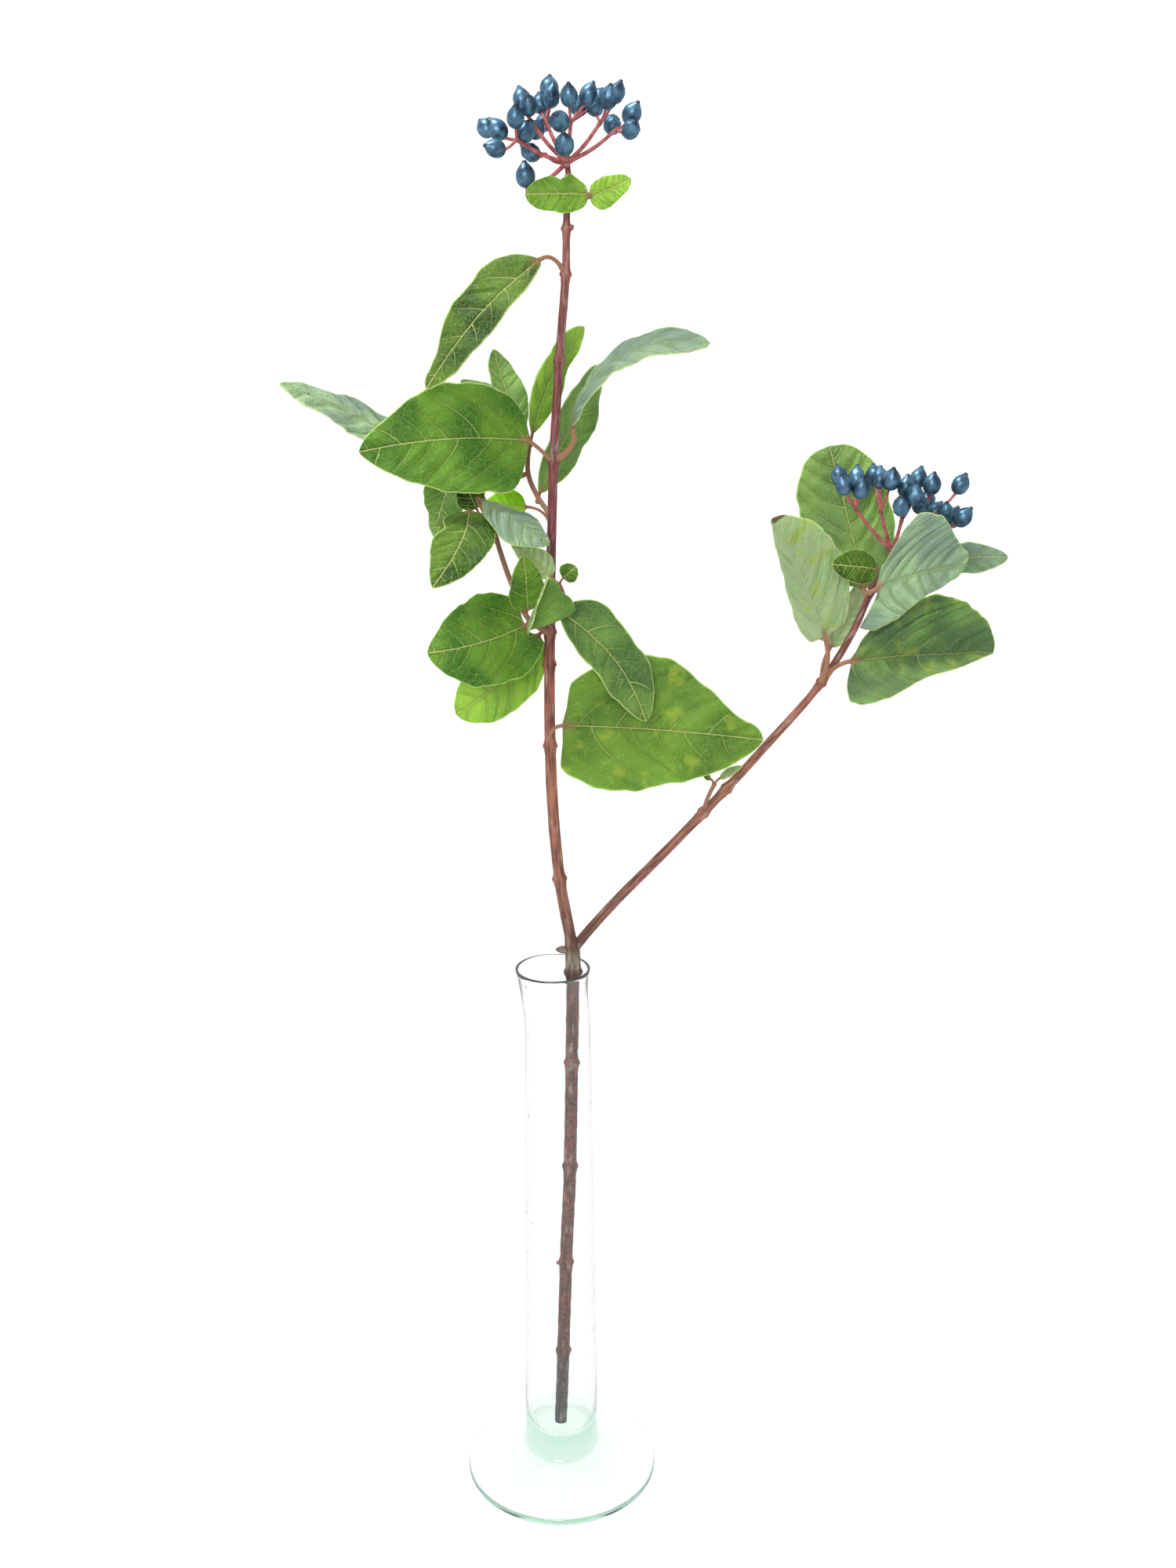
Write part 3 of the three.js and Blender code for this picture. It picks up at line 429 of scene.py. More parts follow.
# A leaf is told by: start, where its stalk leaves the wood; base and tip of the blade; face, the way
# its upper side looks; width; and tint, its green, which on several leaves is partly painted light.
# arch, sweep, fold, twist, wave, widest, slim, slant, heart and lobes shape the blade. stalk is the
# radius of its stalk, and knee bends that. pucker makes it more uneven, faint softens its veins,
# mottle gives it yellower clouds and dry browns its tip. PLAIN_LEAF holds what a leaf doesn't tell.
PLAIN_LEAF = dict(
    arch=0, sweep=0, fold=0, twist=0, wave=(0, 1, 0), widest=0.42, slim=1.4, slant=0, heart=(0, 0),
    lobes=(), stalk=0.75, pucker=1, faint=0, mottle=0, dry=0)
LEAVES = {
    "crown_left": dict(
        start=(10.4, 4.4, 503.3), base=(12.8, 0.8, 504.8), tip=(-8.5, 0, 504.8), stalk=0.5,
        face=(0, -1, 0.2), width=12.4, arch=1.5, wave=(0.8, 2, 0.1), widest=0.45, slim=0.95,
        lobes=[(-1, 0.26, 0.5, 0.1), (-1, 0.44, -1.6, 0.07), (1, 0.15, 0.4)], tint="sunlit"),
    "crown_right": dict(
        start=(11, 4.9, 503.2), base=(13.4, 4, 504.2), tip=(27.2, -0.5, 509.6), stalk=0.5,
        face=(0.1, -1, 0.3), width=10.4, arch=1, sweep=-0.5, fold=12, wave=(0.5, 2, 0.4), slim=1.1,
        lobes=[(-1, 0.3, 1.2, 0.2), (1, 0.5, -0.8, 0.3)], tint="lime"),
    "upper_left": dict(
        start=(4.7, 9, 479.5), base=(-4, 4.5, 484), tip=(-43, -6, 441.5), face=(-0.25, -0.8, 0.5),
        width=21, arch=3, sweep=-1.4, fold=8, wave=(0.8, 3, 0.2), widest=0.45, slim=1.2,
        lobes=[(-1, 0.18, 2.8), (-1, 0.82, -3), (1, 0.3, -2.5, 0.3)], tint="moss"),
    "middle_left": dict(
        start=(0.2, 8, 415), base=(-8.5, 3, 423.4), tip=(-67, -8, 420.5), knee=(-5, 5, 421),
        face=(0, -1, 0.3), width=39, arch=2, sweep=-2, fold=5, wave=(1, 2.5, 0.3), widest=0.38, slim=1.25,
        lobes=[(1, 0.08, 4.5), (-1, 0.8, -1.5)], tint="green"),
    "middle_right": dict(
        start=(0.3, 8, 416), base=(6.6, 4, 428.5), tip=(54, -7, 456.5), knee=(10, 5, 421), stalk=1,
        face=(-0.5, -0.35, 0.8), width=20, arch=12.5, wave=(0.7, 4, 0.1), widest=0.55, slim=0.9,
        lobes=[(1, 0.08, 2), (-1, 0.08, 2), (1, 0.88, 3), (1, 0.3, -2), (-1, 0.9, 1.5)], faint=1,
        pucker=1.5, tint="dusty"),
    "far_left": dict(
        start=(-9, 15, 411), base=(-40, 20, 412.5), tip=(-96, 8, 443), face=(0.4, -0.35, 0.85), width=25,
        arch=2, wave=(0.8, 3, 0.2), widest=0.45, slim=1.2, faint=1, pucker=2, tint="dusty"),
    "fan_left": dict(
        start=(-9.7, 16.6, 420), base=(-11.4, 17.4, 425), tip=(-21.5, 26, 454), stalk=0.5,
        face=(0.5, -0.8, 0.3), width=14, arch=1, sweep=1.5, fold=18, wave=(0.5, 2, 0), widest=0.45,
        tint="sage"),
    "fan_low": dict(
        start=(-9.8, 15.8, 418.8), base=(-12, 12.5, 423.5), tip=(-32.5, 11, 444), stalk=0.5,
        face=(0.3, -0.8, 0.4), width=16, arch=1, wave=(0.5, 2, 0.4), tint="misty"),
    "fan_right": dict(
        start=(-8.4, 16.6, 420), base=(-7.6, 18, 424.8), tip=(11.2, 28, 461.5), stalk=0.6,
        face=(0.7, -0.6, 0), width=17, arch=1, sweep=4.5, fold=10, wave=(0.7, 2, 0.1), widest=0.5,
        lobes=[(-1, 0.6, -3, 0.3)], tint="lime"),
    "rear_right": dict(
        start=(-5.6, 12, 401), base=(-5.2, 18, 403.5), tip=(16.7, 32, 447.7), face=(0.75, -0.6, -0.2),
        width=22.5, arch=2, sweep=2.5, fold=8, wave=(0.8, 2.5, 0.3), widest=0.5, slim=1.25, tint="leek"),
    "bright": dict(
        start=(-0.9, 7.4, 392.6), base=(-10, 13, 399), tip=(-26.5, 17, 398), stalk=0.55,
        face=(0, -1, 0.4), width=13.5, arch=1, wave=(0.4, 2, 0), tint="vivid"),
    "left_rear": dict(
        start=(-23.3, 2.7, 392.4), base=(-36, 15, 411), tip=(-42.3, 13, 393.3), stalk=0.6,
        face=(-0.3, -0.9, 0.2), width=17.5, arch=1, wave=(0.5, 2, 0.3), widest=0.45, tint="leek"),
    "left_far": dict(
        start=(-22.5, 5, 396.2), base=(-36.5, 22, 407), tip=(-43.5, 19, 386.5), stalk=0.6,
        face=(-0.3, -0.9, 0.2), width=12.5, arch=1, slim=1.1, tint="sage"),
    "left_front": dict(
        start=(-26.6, 2.2, 397), base=(-30, 0, 399), tip=(-41, -28, 376.5), stalk=0.6,
        face=(0.1, -0.55, 0.85), width=22, arch=4, sweep=3.5, wave=(0.9, 2, 0.1), widest=0.38, slim=1.2,
        lobes=[(-1, 0.35, -3.5)], tint="rich"),
    "left_dark": dict(
        start=(-25.6, 3.1, 395.6), base=(-27.4, 4.2, 399.5), tip=(-32.5, 3, 409.5), stalk=0.5,
        face=(0.2, -0.9, 0.3), width=11, arch=0.5, tint="deep"),
    "left_high": dict(
        start=(-22.6, 3.9, 395.4), base=(-25.6, 0, 403.4), tip=(-1.2, -12, 388.8), stalk=0.6,
        face=(0.35, -0.5, 0.8), width=20, arch=2, sweep=-1, fold=-15, wave=(0.6, 2, 0.1), widest=0.58,
        slim=1.8, faint=1, pucker=1.5, tint="dusty"),
    "knot_up": dict(
        start=(-10, -0.8, 362.4), base=(-9.6, -3.4, 364.3), tip=(-10.6, -7.5, 384.6), stalk=0.5,
        face=(0.3, -0.95, 0.2), width=13.5, arch=1, fold=8, wave=(0.3, 2, 0.2), widest=0.34, slim=1.1,
        tint="fresh"),
    "knot_fold": dict(
        start=(-9.2, -0.9, 360.6), base=(-9, -6, 357.6), tip=(-1.7, -15, 377.8), stalk=0.55,
        face=(0.7, -0.65, 0.35), width=25, arch=-1, sweep=-1.2, slant=-0.2, fold=35, wave=(0.4, 2, 0.2),
        widest=0.42, slim=1.6, lobes=[(-1, 0.7, -3), (-1, 0.3, 2)], tint="leek"),
    "knot_broad": dict(
        start=(-9.8, -0.9, 361.6), base=(-10.6, 0.4, 358), tip=(-45.5, -8, 349.7), stalk=0.6,
        face=(0, -1, 0.35), width=33.5, arch=2, sweep=2, heart=(6, 6), wave=(1.2, 2.5, 0.2), widest=0.38,
        slim=1.15, tint="green"),
    "knot_sliver": dict(
        start=(-12.2, 0, 366.8), base=(-14, 7.5, 366), tip=(-20, 11, 365), stalk=0.5, face=(0, -0.5, 0.8),
        width=5, arch=0.5, tint="fresh"),
    "below_left": dict(
        start=(-1.6, 6.5, 353.5), base=(-6, 9.5, 352.5), tip=(-37, 8, 323), face=(0.1, -1, 0.3), width=24,
        arch=2, sweep=2.5, wave=(0.9, 2.5, 0.3), widest=0.48, slim=1.1, tint="lime"),
    "below_right": dict(
        start=(-1.6, 6.5, 354.5), base=(1.8, 1, 363), tip=(33, -8, 324), face=(0.25, -0.9, 0.45),
        width=21, arch=2, sweep=4.5, fold=8, wave=(0.8, 3, 0.2), widest=0.5,
        lobes=[(1, 0.15, 4.5), (-1, 0.5, -1.2)], tint="shaded"),
    "broad_right": dict(
        start=(-2, 5.8, 311), base=(3.5, 0.5, 320.5), tip=(76.5, -2, 315.4), face=(0, -1, 0.25), width=48,
        arch=3, sweep=1, slant=0.1, heart=(4, 4), wave=(1.3, 2.5, 0.4), widest=0.34, slim=1.05,
        lobes=[(1, 0.42, 3), (1, 0.82, -4.5), (-1, 0.55, -1.5, 0.3)], pucker=1.4, mottle=1,
        tint="ripening"),
    "right_fold": dict(
        start=(1.3, 2, 373), base=(-0.8, 0.9, 375.4), tip=(-15.4, 3, 387), stalk=0.5,
        face=(0.2, -0.75, 0.6), width=11, arch=1, fold=20, wave=(0.5, 2, 0.2), widest=0.36,
        tint="silver"),
    "right_round": dict(
        start=(2.2, 2.2, 373), base=(3.4, 0.2, 375.2), tip=(8, -1, 379.6), stalk=0.4, face=(0.1, -1, 0.3),
        width=7.4, arch=0.5, slim=1, tint="green"),
    "bud_long": dict(
        start=(59.5, 5, 296.8), base=(61.2, 4.2, 299), tip=(69.5, 2, 304.4), stalk=0.45,
        face=(-0.3, -0.6, 0.7), width=4, arch=0.5, tint="silver"),
    "bud_short": dict(
        start=(58.6, 5.6, 294.8), base=(58, 5.4, 298.4), tip=(54.6, 4.5, 301), stalk=0.45,
        face=(0.3, -0.6, 0.7), width=3.2, tint="shaded"),
    "branch_back": dict(
        start=(97.2, 10.8, 332.2), base=(98.8, 6, 352.4), tip=(78.2, 4, 395.8), stalk=0.9,
        face=(0.53, 0.83, 0.1), width=32, arch=3, slant=0.2, heart=(2, 2), fold=30, twist=-30,
        wave=(0.8, 3, 0.1), widest=0.42, slim=1, lobes=[(-1, 0.5, -2, 0.4)], faint=1, pucker=2, dry=1,
        mottle=1.4, tint="pale"),
    "branch_front": dict(
        start=(100.3, 9.4, 336.6), base=(109.4, 5, 343.5), tip=(157.4, -8, 349), stalk=0.9,
        face=(0, -0.8, 0.6), width=42, arch=2, slant=0.45, fold=20, twist=-50, wave=(1.2, 2.5, 0.3),
        widest=0.42, slim=1.1, lobes=[(-1, 0.65, -3.5, 0.2), (1, 0.15, -2)], faint=0.6, pucker=2.2,
        mottle=0.6, tint="dusk"),
    "branch_rear": dict(
        start=(99.2, 10.3, 334.2), base=(102.5, 15, 346.6), tip=(115.5, 22, 371), face=(0.6, -0.7, 0),
        width=14, arch=1, tint="silver"),
    "head_rear": dict(
        start=(114.6, 9.4, 365), base=(113.5, 14, 369), tip=(102, 35, 418.5), stalk=0.8,
        face=(0.1, -1, 0.3), width=35, arch=-2, sweep=-1, wave=(1.2, 2.5, 0.2), widest=0.55, slim=0.9,
        pucker=1.5, tint="sage"),
    "head_small": dict(
        start=(116, 9, 369.5), base=(116.5, 5, 377.2), tip=(99.3, -1, 379.8), stalk=0.5,
        face=(0, -1, 0.4), width=12.5, arch=1, wave=(0.5, 2, 0.1), slim=1.1, tint="rich"),
    "head_front": dict(
        start=(115.7, 9, 368.5), base=(115.8, -5, 372.1), tip=(144.6, -14, 381.5), stalk=0.8,
        face=(0, -0.98, 0.2), width=34, arch=2, sweep=1.5, slant=0.5, heart=(0, 12), wave=(0.7, 3, 0.1),
        widest=0.38, slim=1,
        lobes=[(1, 0.1, -4), (1, 0.45, 3, 0.2), (1, 0.82, -2.6, 0.15), (-1, 0.6, -6, 0.35)], faint=1,
        pucker=1.2, tint="dusty"),
    "head_right": dict(
        start=(116.2, 9, 370), base=(126, 11, 377.6), tip=(164, 6, 381.2), stalk=0.6, face=(0, -0.7, 0.7),
        width=14, arch=1.5, wave=(0.5, 3, 0.2), widest=0.55, lobes=[(1, 0.3, -1.8)], tint="dusty"),
}

# Each leaf's green. Several hold painted light as well as the leaf's own colour: some are lightened as a
# painted glow and a painted grey glare, others darkened as painted shade.
LEAF_TINTS_WITH_PAINTED_LIGHT = {
    "fresh": 0x4E7E26,
    "green": 0x3C7016,
    # A deep green, darker still where a leaf faces the lamp: partly painted shade.
    "rich": 0x164600,
    "vivid": 0x9CDC0C,
    "deep": 0x264A0C,
    # Darkened for a leaf that faces the lamp: painted shade.
    "moss": 0x1E4014,
    # A painted grey glare over the leaf's green.
    "dusty": 0x859A8E,
    "pale": 0x92AA7C,
    # A pale grey-green, lightened against the shade these folded leaves sit in: partly painted light.
    "silver": 0xBCC8A6,
    "sage": 0x74925A,
    "sunlit": 0x6E9A2E,
    # A painted glow of light shining through the leaf from behind.
    "lime": 0x92BC44,
    "ripening": 0x58802E,
    "shaded": 0x4C7040,
    "dusk": 0x5A7456,
    "leek": 0x648C44,
    "misty": 0x7A9478,
}

# What the veins, the edges and the dried parts turn the green into.
LEAF_PAINTS = {
    "dark cloud": 0xE0E4DC,
    "light cloud": 0xA4C83C,
    "grain": 0x9AAE84,
    # Painted shade beside the veins and the midrib.
    "vein_shade": 0x9CB070,
    "underside": 0xB2C298,
    "ripening": 0x9CA83C,
    "net": 0xA6C862,
    "side vein": 0xB0C670,
    # The pale hairy margin, partly a painted rim of backlight.
    "midrib": 0xBDBF78,
    "margin_and_rim_light": 0xC8D48A,
    "speck": 0x5F4426,
    "dry": 0x5A3C22,
    "stalk": 0x966C54,
}

STALK_STEPS = 16
FULL_WIDTH = 22
TIP_WIDTH = 1
LOBE = 0.15
MARGIN_LAG = 0.35
KNEE = 0.55
THICKNESS = 0.5
EDGE_THICKNESS = 0.14
CELL = 0.8
LEAST_ACROSS = 7
LEAST_ALONG = 26
VEIN_PAIRS = 6.5
OPPOSITE = 0.42
WAVERS = [(0.02, 15), (0.014, 31), (0.008, 57)]
PUCKER = 0.75
SLOW_SWELL = 0.35
EDGE_RIPPLE = 0.16
QUILT = 0.13
GROOVE = 0.22
RIB = 0.75
SIDE_RIB = 0.16
RIB_REACH = 0.6


def leaf_rings(spec, seed):
    """A leaf as rings from its stalk's foot to its tip, with for each point: how far it is across and
    along the blade in millimetres, its side vein number and the veins' pitch, its share of the half
    width, its side of the blade (1 below), its shares of stalk and of the dry tip, and how puckered
    and how faintly veined the leaf is.

    The blade's middle is M(s) = base + chord s + 4 bend s (1 - s). Its half width is
    w/2 ((s/a)^a ((1-s)/(1-a))^(1-a))^slim with a = widest, plus swell exp(-((s-at)/extent)^2) for each
    lobe of that side, and wavers by a few hundredths. A point is M + across u half cos(fold)
    + ahead (slant u half - heart |u| (1-s)^4) + up (|u| half sin(fold) + ripple + puckers).
    Side veins are curves along = start + 0.45 reach + 0.045 reach^2 from the midrib."""
    start, base, tip = (np.array(spec[key], float) for key in ("start", "base", "tip"))
    stalk, widest, slim, pucker = (spec[key] for key in ("stalk", "widest", "slim", "pucker"))
    lift, fork = radians(spec["fold"]), radians(spec["twist"])
    high, waves, begin = spec["wave"]
    draw = np.random.default_rng(seed)

    chord = tip - base
    length = np.linalg.norm(chord)
    normal = np.array(spec["face"], float)
    normal = unit(normal - chord * (normal @ chord) / length ** 2)
    side = unit(np.cross(normal, chord))
    bend = normal * spec["arch"] + side * spec["sweep"]

    def frame_at(s):
        ahead = unit(chord + 4 * bend * (1 - 2 * s))
        up = unit(normal - ahead * (ahead @ normal)[..., None])
        turn = fork * (s - 0.5)
        up = up * np.cos(turn) + np.cross(ahead, up) * np.sin(turn)
        return ahead, up, np.cross(up, ahead)

    half_count = max(LEAST_ACROSS, int(spec["width"] / 2 / CELL))
    x = np.linspace(1, -1, 2 * half_count + 1)
    u_top = np.sign(x) * np.abs(x) ** 1.25
    u = np.concatenate([u_top, u_top[::-1]])
    below = np.concatenate([0 * u_top, 0 * u_top + 1])
    s = np.linspace(0.004, 1, max(LEAST_ALONG, int(length / CELL)))[:, None]
    first = u > 0
    half = spec["width"] / 2 * ((s / widest) ** widest * ((1 - s) / (1 - widest)) ** (1 - widest)) ** slim
    fade = np.minimum(1, np.minimum(s / 0.05, (1 - s) / 0.1))
    for edge, at, swell, *extent in spec["lobes"]:
        bulge = swell * np.exp(-((s - at) / (extent or [LOBE])[0]) ** 2)
        half = half + fade * bulge * (edge * u > 0)
    turns = draw.uniform(0, 2 * pi, (4, 2))[:, first.astype(int)]
    waver = sum(size * np.sin(pace * s + turn) for (size, pace), turn in zip(WAVERS, turns))
    half = half * (1 + waver * fade)
    tip_half = TIP_WIDTH / 2 * np.sqrt(np.clip((1 - s) / 0.03, 0, 1))
    half = np.maximum(half, np.where(s > 0.5, np.maximum(tip_half, 0.05), stalk * (1 - 5 * s)))

    reach = np.abs(u) * half
    pitch = length / VEIN_PAIRS
    vein = (s * length - 0.45 * reach - 0.045 * reach ** 2) / pitch
    a, b, c, d = draw.uniform(0, 2 * pi, 4)
    vein = vein + 0.15 * np.sin(2.1 * vein + a) + 0.2 * u * np.sin(2.6 * vein + b)
    between = np.sin(pi * (vein + OPPOSITE * first)) ** 2
    spread = np.clip(s / 0.06, 0, 1) * np.clip((1 - s) / 0.08, 0, 1)
    ripple = high * np.abs(u) ** 1.5 * np.sin(pi * s) * np.sin(
        2 * pi * (waves * s + begin + MARGIN_LAG * ~first * (u < 0)))
    size = min(1, spec["width"] / FULL_WIDTH)
    slow = SLOW_SWELL * np.sin(7 * s + 2.2 * u + a) * np.sin(3 * u + b) * np.sin(pi * s) * pucker ** 0.5
    fine = EDGE_RIPPLE * np.sin(23 * s + 5 * u + c) * np.abs(u) ** 3 * np.sin(pi * s) * pucker
    quilt = QUILT * np.sin(1.1 * reach + 2 * vein + d) * np.sin(2 * pi * vein + 0.7 * reach) * pucker
    puff = PUCKER * pucker * (between - 0.5) * np.clip(reach / 3, 0, 1) * (1 - np.abs(u) ** 4)
    at_rib = np.exp(-(reach / RIB_REACH) ** 2)
    groove = at_rib * (1 - s) ** 0.6 * spread
    thick = EDGE_THICKNESS + (THICKNESS - EDGE_THICKNESS) * np.sqrt(1 - np.abs(u) ** 6)
    rib = RIB * size * at_rib * (1 - s) ** 0.7 + SIDE_RIB * size * (1 - between) ** 8 * spread
    folded = np.abs(u) * half * sin(lift)
    height = folded + ripple + size * (slow + fine + (puff + quilt) * spread) - GROOVE * groove
    height = height + np.where(below > 0, -thick / 2 - rib, thick / 2)

    ahead, up, across = frame_at(s[:, :1])
    rounding = np.clip(s / 0.05, 0, 1)
    drawn = np.where(first, *spec["heart"])
    onward = u * half * spec["slant"] - np.abs(u) * drawn * (1 - s) ** 4 * rounding
    middle = base + chord * s + 4 * bend * s * (1 - s)
    blade = (middle[:, None] + across[:, None] * (u * half * cos(lift))[..., None]
             + ahead[:, None] * onward[..., None] + up[:, None] * height[..., None])

    ahead, up, across = frame_at(np.zeros((1, 1)))
    knee = np.array(spec.get("knee", base - ahead[0] * KNEE * np.linalg.norm(base - start)), float)
    t = np.linspace(0, 1, STALK_STEPS)[:, None]
    path = start * (1 - t) ** 2 + 2 * knee * t * (1 - t) + base * t ** 2
    along = unit(2 * (knee - start) * (1 - t) + 2 * (base - knee) * t)
    sideways = unit(across - along * (along @ across[0])[:, None])
    upward = np.cross(along, sideways)
    angle = around(len(u), 0.5)[None, :, None]
    girth = stalk * (1 + 0.35 * np.exp(-((t - 0.12) / 0.1) ** 2) - 0.08 * np.sin(pi * t))[..., None]
    round_it = sideways[:, None] * np.cos(angle) + upward[:, None] * np.sin(angle)
    stalk_part = (path[:, None] + girth * round_it)[:-1]

    def with_stalk(values, at_stalk):
        values = np.broadcast_to(values, blade.shape[:2])
        return np.concatenate([np.full((len(stalk_part), len(u)), float(at_stalk)), values]).ravel()

    marks = {
        "across": with_stalk(u * half, 0),
        "along": with_stalk(s * length, 0),
        "vein": with_stalk(vein, -1),
        "pitch": with_stalk(pitch, pitch),
        "reach": with_stalk(np.abs(u), 0),
        "below": with_stalk(below, 0),
        "pucker": with_stalk(pucker, 0),
        "faint": with_stalk(spec["faint"], 0),
        "dry": with_stalk(spec["dry"] * np.exp(-((1 - s) * length / 2) ** 2), 0),
        "stalk": with_stalk(np.clip(1 - s * 12, 0, 1) * np.exp(-(reach / 1.5) ** 2), 1),
    }
    return np.concatenate([stalk_part, blade]), marks


def leaf_material():
    """Leathery leaf. Veins lie where the vein number is whole, the midrib where across is 0, and two
    Voronoi nets fill the cells. The green is the leaf's tint, partly its own colour and partly painted
    light, and lighter in soft clouds, with painted shade beside the veins and the midrib, a pale yellow
    margin that is partly a painted rim of backlight, a paler underside and a few brown specks."""
    material, tree, shader = new_material("viburnum leaf", [
        ("Subsurface Weight", 0.5), ("Subsurface Radius", (0.5, 1, 0.12)), ("Subsurface Scale", 0.0012),
        ("Specular IOR Level", 0.16), ("Sheen Weight", 0.04), ("Sheen Roughness", 0.4),
        ("Sheen Tint", (0.8, 0.9, 0.85, 1))])

    def calc(operation, *values):
        return add(tree, "Math", list(enumerate(values)), operation=operation).outputs[0]

    def band(value, low, high, at_low, at_high):
        return remap(tree, value, low, high, at_low, at_high, "SMOOTHSTEP")

    def tinge(colour, name, amount, kind="MIX"):
        return blend(tree, amount, colour, paint(LEAF_PAINTS[name]), kind)

    def cell_walls(vector, scale, width):
        cells = add(tree, "TexVoronoi", [("Vector", vector), ("Scale", scale)], feature="DISTANCE_TO_EDGE")
        return band(cells.outputs["Distance"], 0, width, 1, 0)

    across, reach, below, pitch = (mark_of(tree, name) for name in ("across", "reach", "below", "pitch"))
    place = add(tree, "TexCoord").outputs["Object"]
    flat = add(tree, "CombineXYZ", [(0, across), (1, mark_of(tree, "along"))]).outputs[0]
    from_rib = calc("ABSOLUTE", across)
    large = band(pitch, 2.5, 9, 0.35, 1)

    number = calc("ADD", mark_of(tree, "vein"), calc("MULTIPLY", calc("GREATER_THAN", across, 0), OPPOSITE))
    begun = band(number, -0.25, 0.1, 0, 1)
    whole = calc("ABSOLUTE", calc("SUBTRACT", calc("FRACT", calc("ADD", number, 0.5)), 0.5))
    from_vein = calc("MULTIPLY", whole, pitch)
    width = calc("MULTIPLY", band(reach, 0.2, 0.95, 1, 0.45), band(pitch, 2.5, 9, 0.8, 1))
    lateral = band(calc("DIVIDE", from_vein, width), 0.1, 0.3, 1, 0)
    lateral = calc("MULTIPLY", calc("MULTIPLY", lateral, band(reach, 0.7, 0.97, 1, 0.1)), begun)
    rib = band(from_rib, 0.1, 0.3, 1, 0)
    drift = add(tree, "TexNoise", [("Vector", flat), ("Scale", 0.45), ("Detail", 2)]).outputs["Color"]
    drifting = flat
    for _ in range(2):
        drifting = add(tree, "VectorMath", [(0, drifting), (1, drift)], operation="ADD").outputs[0]
    fine_net = calc("MULTIPLY", cell_walls(drifting, 1.1, 0.13), calc("MULTIPLY", large, 0.4))
    net = calc("MAXIMUM", calc("MULTIPLY", cell_walls(drifting, 0.36, 0.05), 0.75), fine_net)
    veins = calc("MAXIMUM", calc("MAXIMUM", lateral, rib), net)

    # The leaf's tint: its own green, lightened on some leaves as painted light and darkened on others as
    # painted shade.
    own = add(tree, "Attribute", attribute_name="tint").outputs["Color"]
    clouds = noise(tree, place, 60, 1)
    grain = noise(tree, flat, 1.6, 3)
    darker, lighter = tinge(own, "dark cloud", 1, "MULTIPLY"), tinge(own, "light cloud", 0.2)
    colour = blend(tree, band(clouds, 0.35, 0.65, 0, 1), darker, lighter)
    colour = tinge(colour, "grain", calc("MULTIPLY", band(grain, 0.3, 0.7, 0.3, 0), large), "MULTIPLY")
    # Painted shade in the sunken strips beside the side veins and along the midrib.
    shade_beside_vein = calc("MULTIPLY", band(from_vein, 0.2, 1.3, 0.35, 0), begun)
    vein_shade = calc("MAXIMUM", band(from_rib, 0.3, 1.6, 0.4, 0), shade_beside_vein)
    colour = tinge(colour, "vein_shade", vein_shade, "MULTIPLY")
    colour = tinge(colour, "underside", calc("MULTIPLY", below, 0.5))
    ripe = band(noise(tree, place, 130, 3), 0.54, 0.68, 0, 0.5)
    colour = tinge(colour, "ripening", calc("MULTIPLY", ripe, mark_of(tree, "mottle")))
    clear = calc("SUBTRACT", 1, calc("MULTIPLY", mark_of(tree, "faint"), 0.6))
    for name, pattern, strength in (("net", net, 0.4), ("side vein", lateral, 0.45), ("midrib", rib, 0.7)):
        colour = tinge(colour, name, calc("MULTIPLY", calc("MULTIPLY", pattern, strength), clear))
    # A pale margin at the edge: partly the leaf's own, partly a painted rim of backlight.
    from_edge = calc("MULTIPLY", from_rib, calc("SUBTRACT", calc("DIVIDE", 1, reach), 1))
    colour = tinge(colour, "margin_and_rim_light", band(calc("DIVIDE", from_edge, large), 0.25, 0.6, 0.65, 0))
    spots = add(tree, "TexVoronoi", [("Vector", place), ("Scale", 110)]).outputs["Distance"]
    specks = calc("MULTIPLY", band(spots, 0.03, 0.08, 1, 0), band(clouds, 0.5, 0.58, 0, 0.8))
    colour = tinge(colour, "speck", specks)
    dryness = calc("MULTIPLY", mark_of(tree, "dry"), calc("ADD", grain, 0.5))
    colour = tinge(colour, "dry", band(dryness, 0.25, 0.5, 0, 0.9))
    colour = tinge(colour, "stalk", mark_of(tree, "stalk"))
    tree.links.new(colour, shader.inputs["Base Color"])

    sideways = calc("MULTIPLY", across, 0.13)
    folds = add(tree, "CombineXYZ", [(0, calc("MULTIPLY", number, 2.6)), (1, sideways)]).outputs[0]
    wrinkle = noise(tree, folds, 1, 1)
    relief = calc("ADD", calc("MULTIPLY", veins, -0.45), calc("MULTIPLY", grain, 0.25))
    relief = calc("ADD", relief, calc("MULTIPLY", wrinkle, calc("MULTIPLY", mark_of(tree, "pucker"), 1.7)))
    set_relief(tree, shader, calc("MULTIPLY", relief, band(below, 0, 1, 1, -1)), 0.9, 0.0006)
    tree.links.new(band(grain, 0.3, 0.7, 0.4, 0.52), shader.inputs["Roughness"])
    return material


leaf_finish = leaf_material()
for seed, (name, own) in enumerate(LEAVES.items()):
    spec = {**PLAIN_LEAF, **own}
    rings, marks = leaf_rings(spec, seed)
    leaf = make_piece("blade_" + name, *skin(rings), leaf_finish, "leaf", "leaf_" + name)
    for mark, values in marks.items():
        set_mark(leaf, mark, np.append(values, [values[0], values[-1]]))
    count = len(leaf.data.vertices)
    set_mark(leaf, "mottle", np.full(count, float(spec["mottle"])))
    # Each point gets the leaf's tint, which on some leaves holds painted glow and glare, and on others
    # painted shade.
    tint = leaf.data.attributes.new("tint", "FLOAT_COLOR", "POINT")
    tint.data.foreach_set("color", np.tile(paint(LEAF_TINTS_WITH_PAINTED_LIGHT[spec["tint"]]), count))


# The berry heads
# Crimson stalks fork from the end of the wood, and each carries one egg-shaped berry with a steely
# blue-black skin that ends in the dried crown of its flower. Some berries have begun to wrinkle.

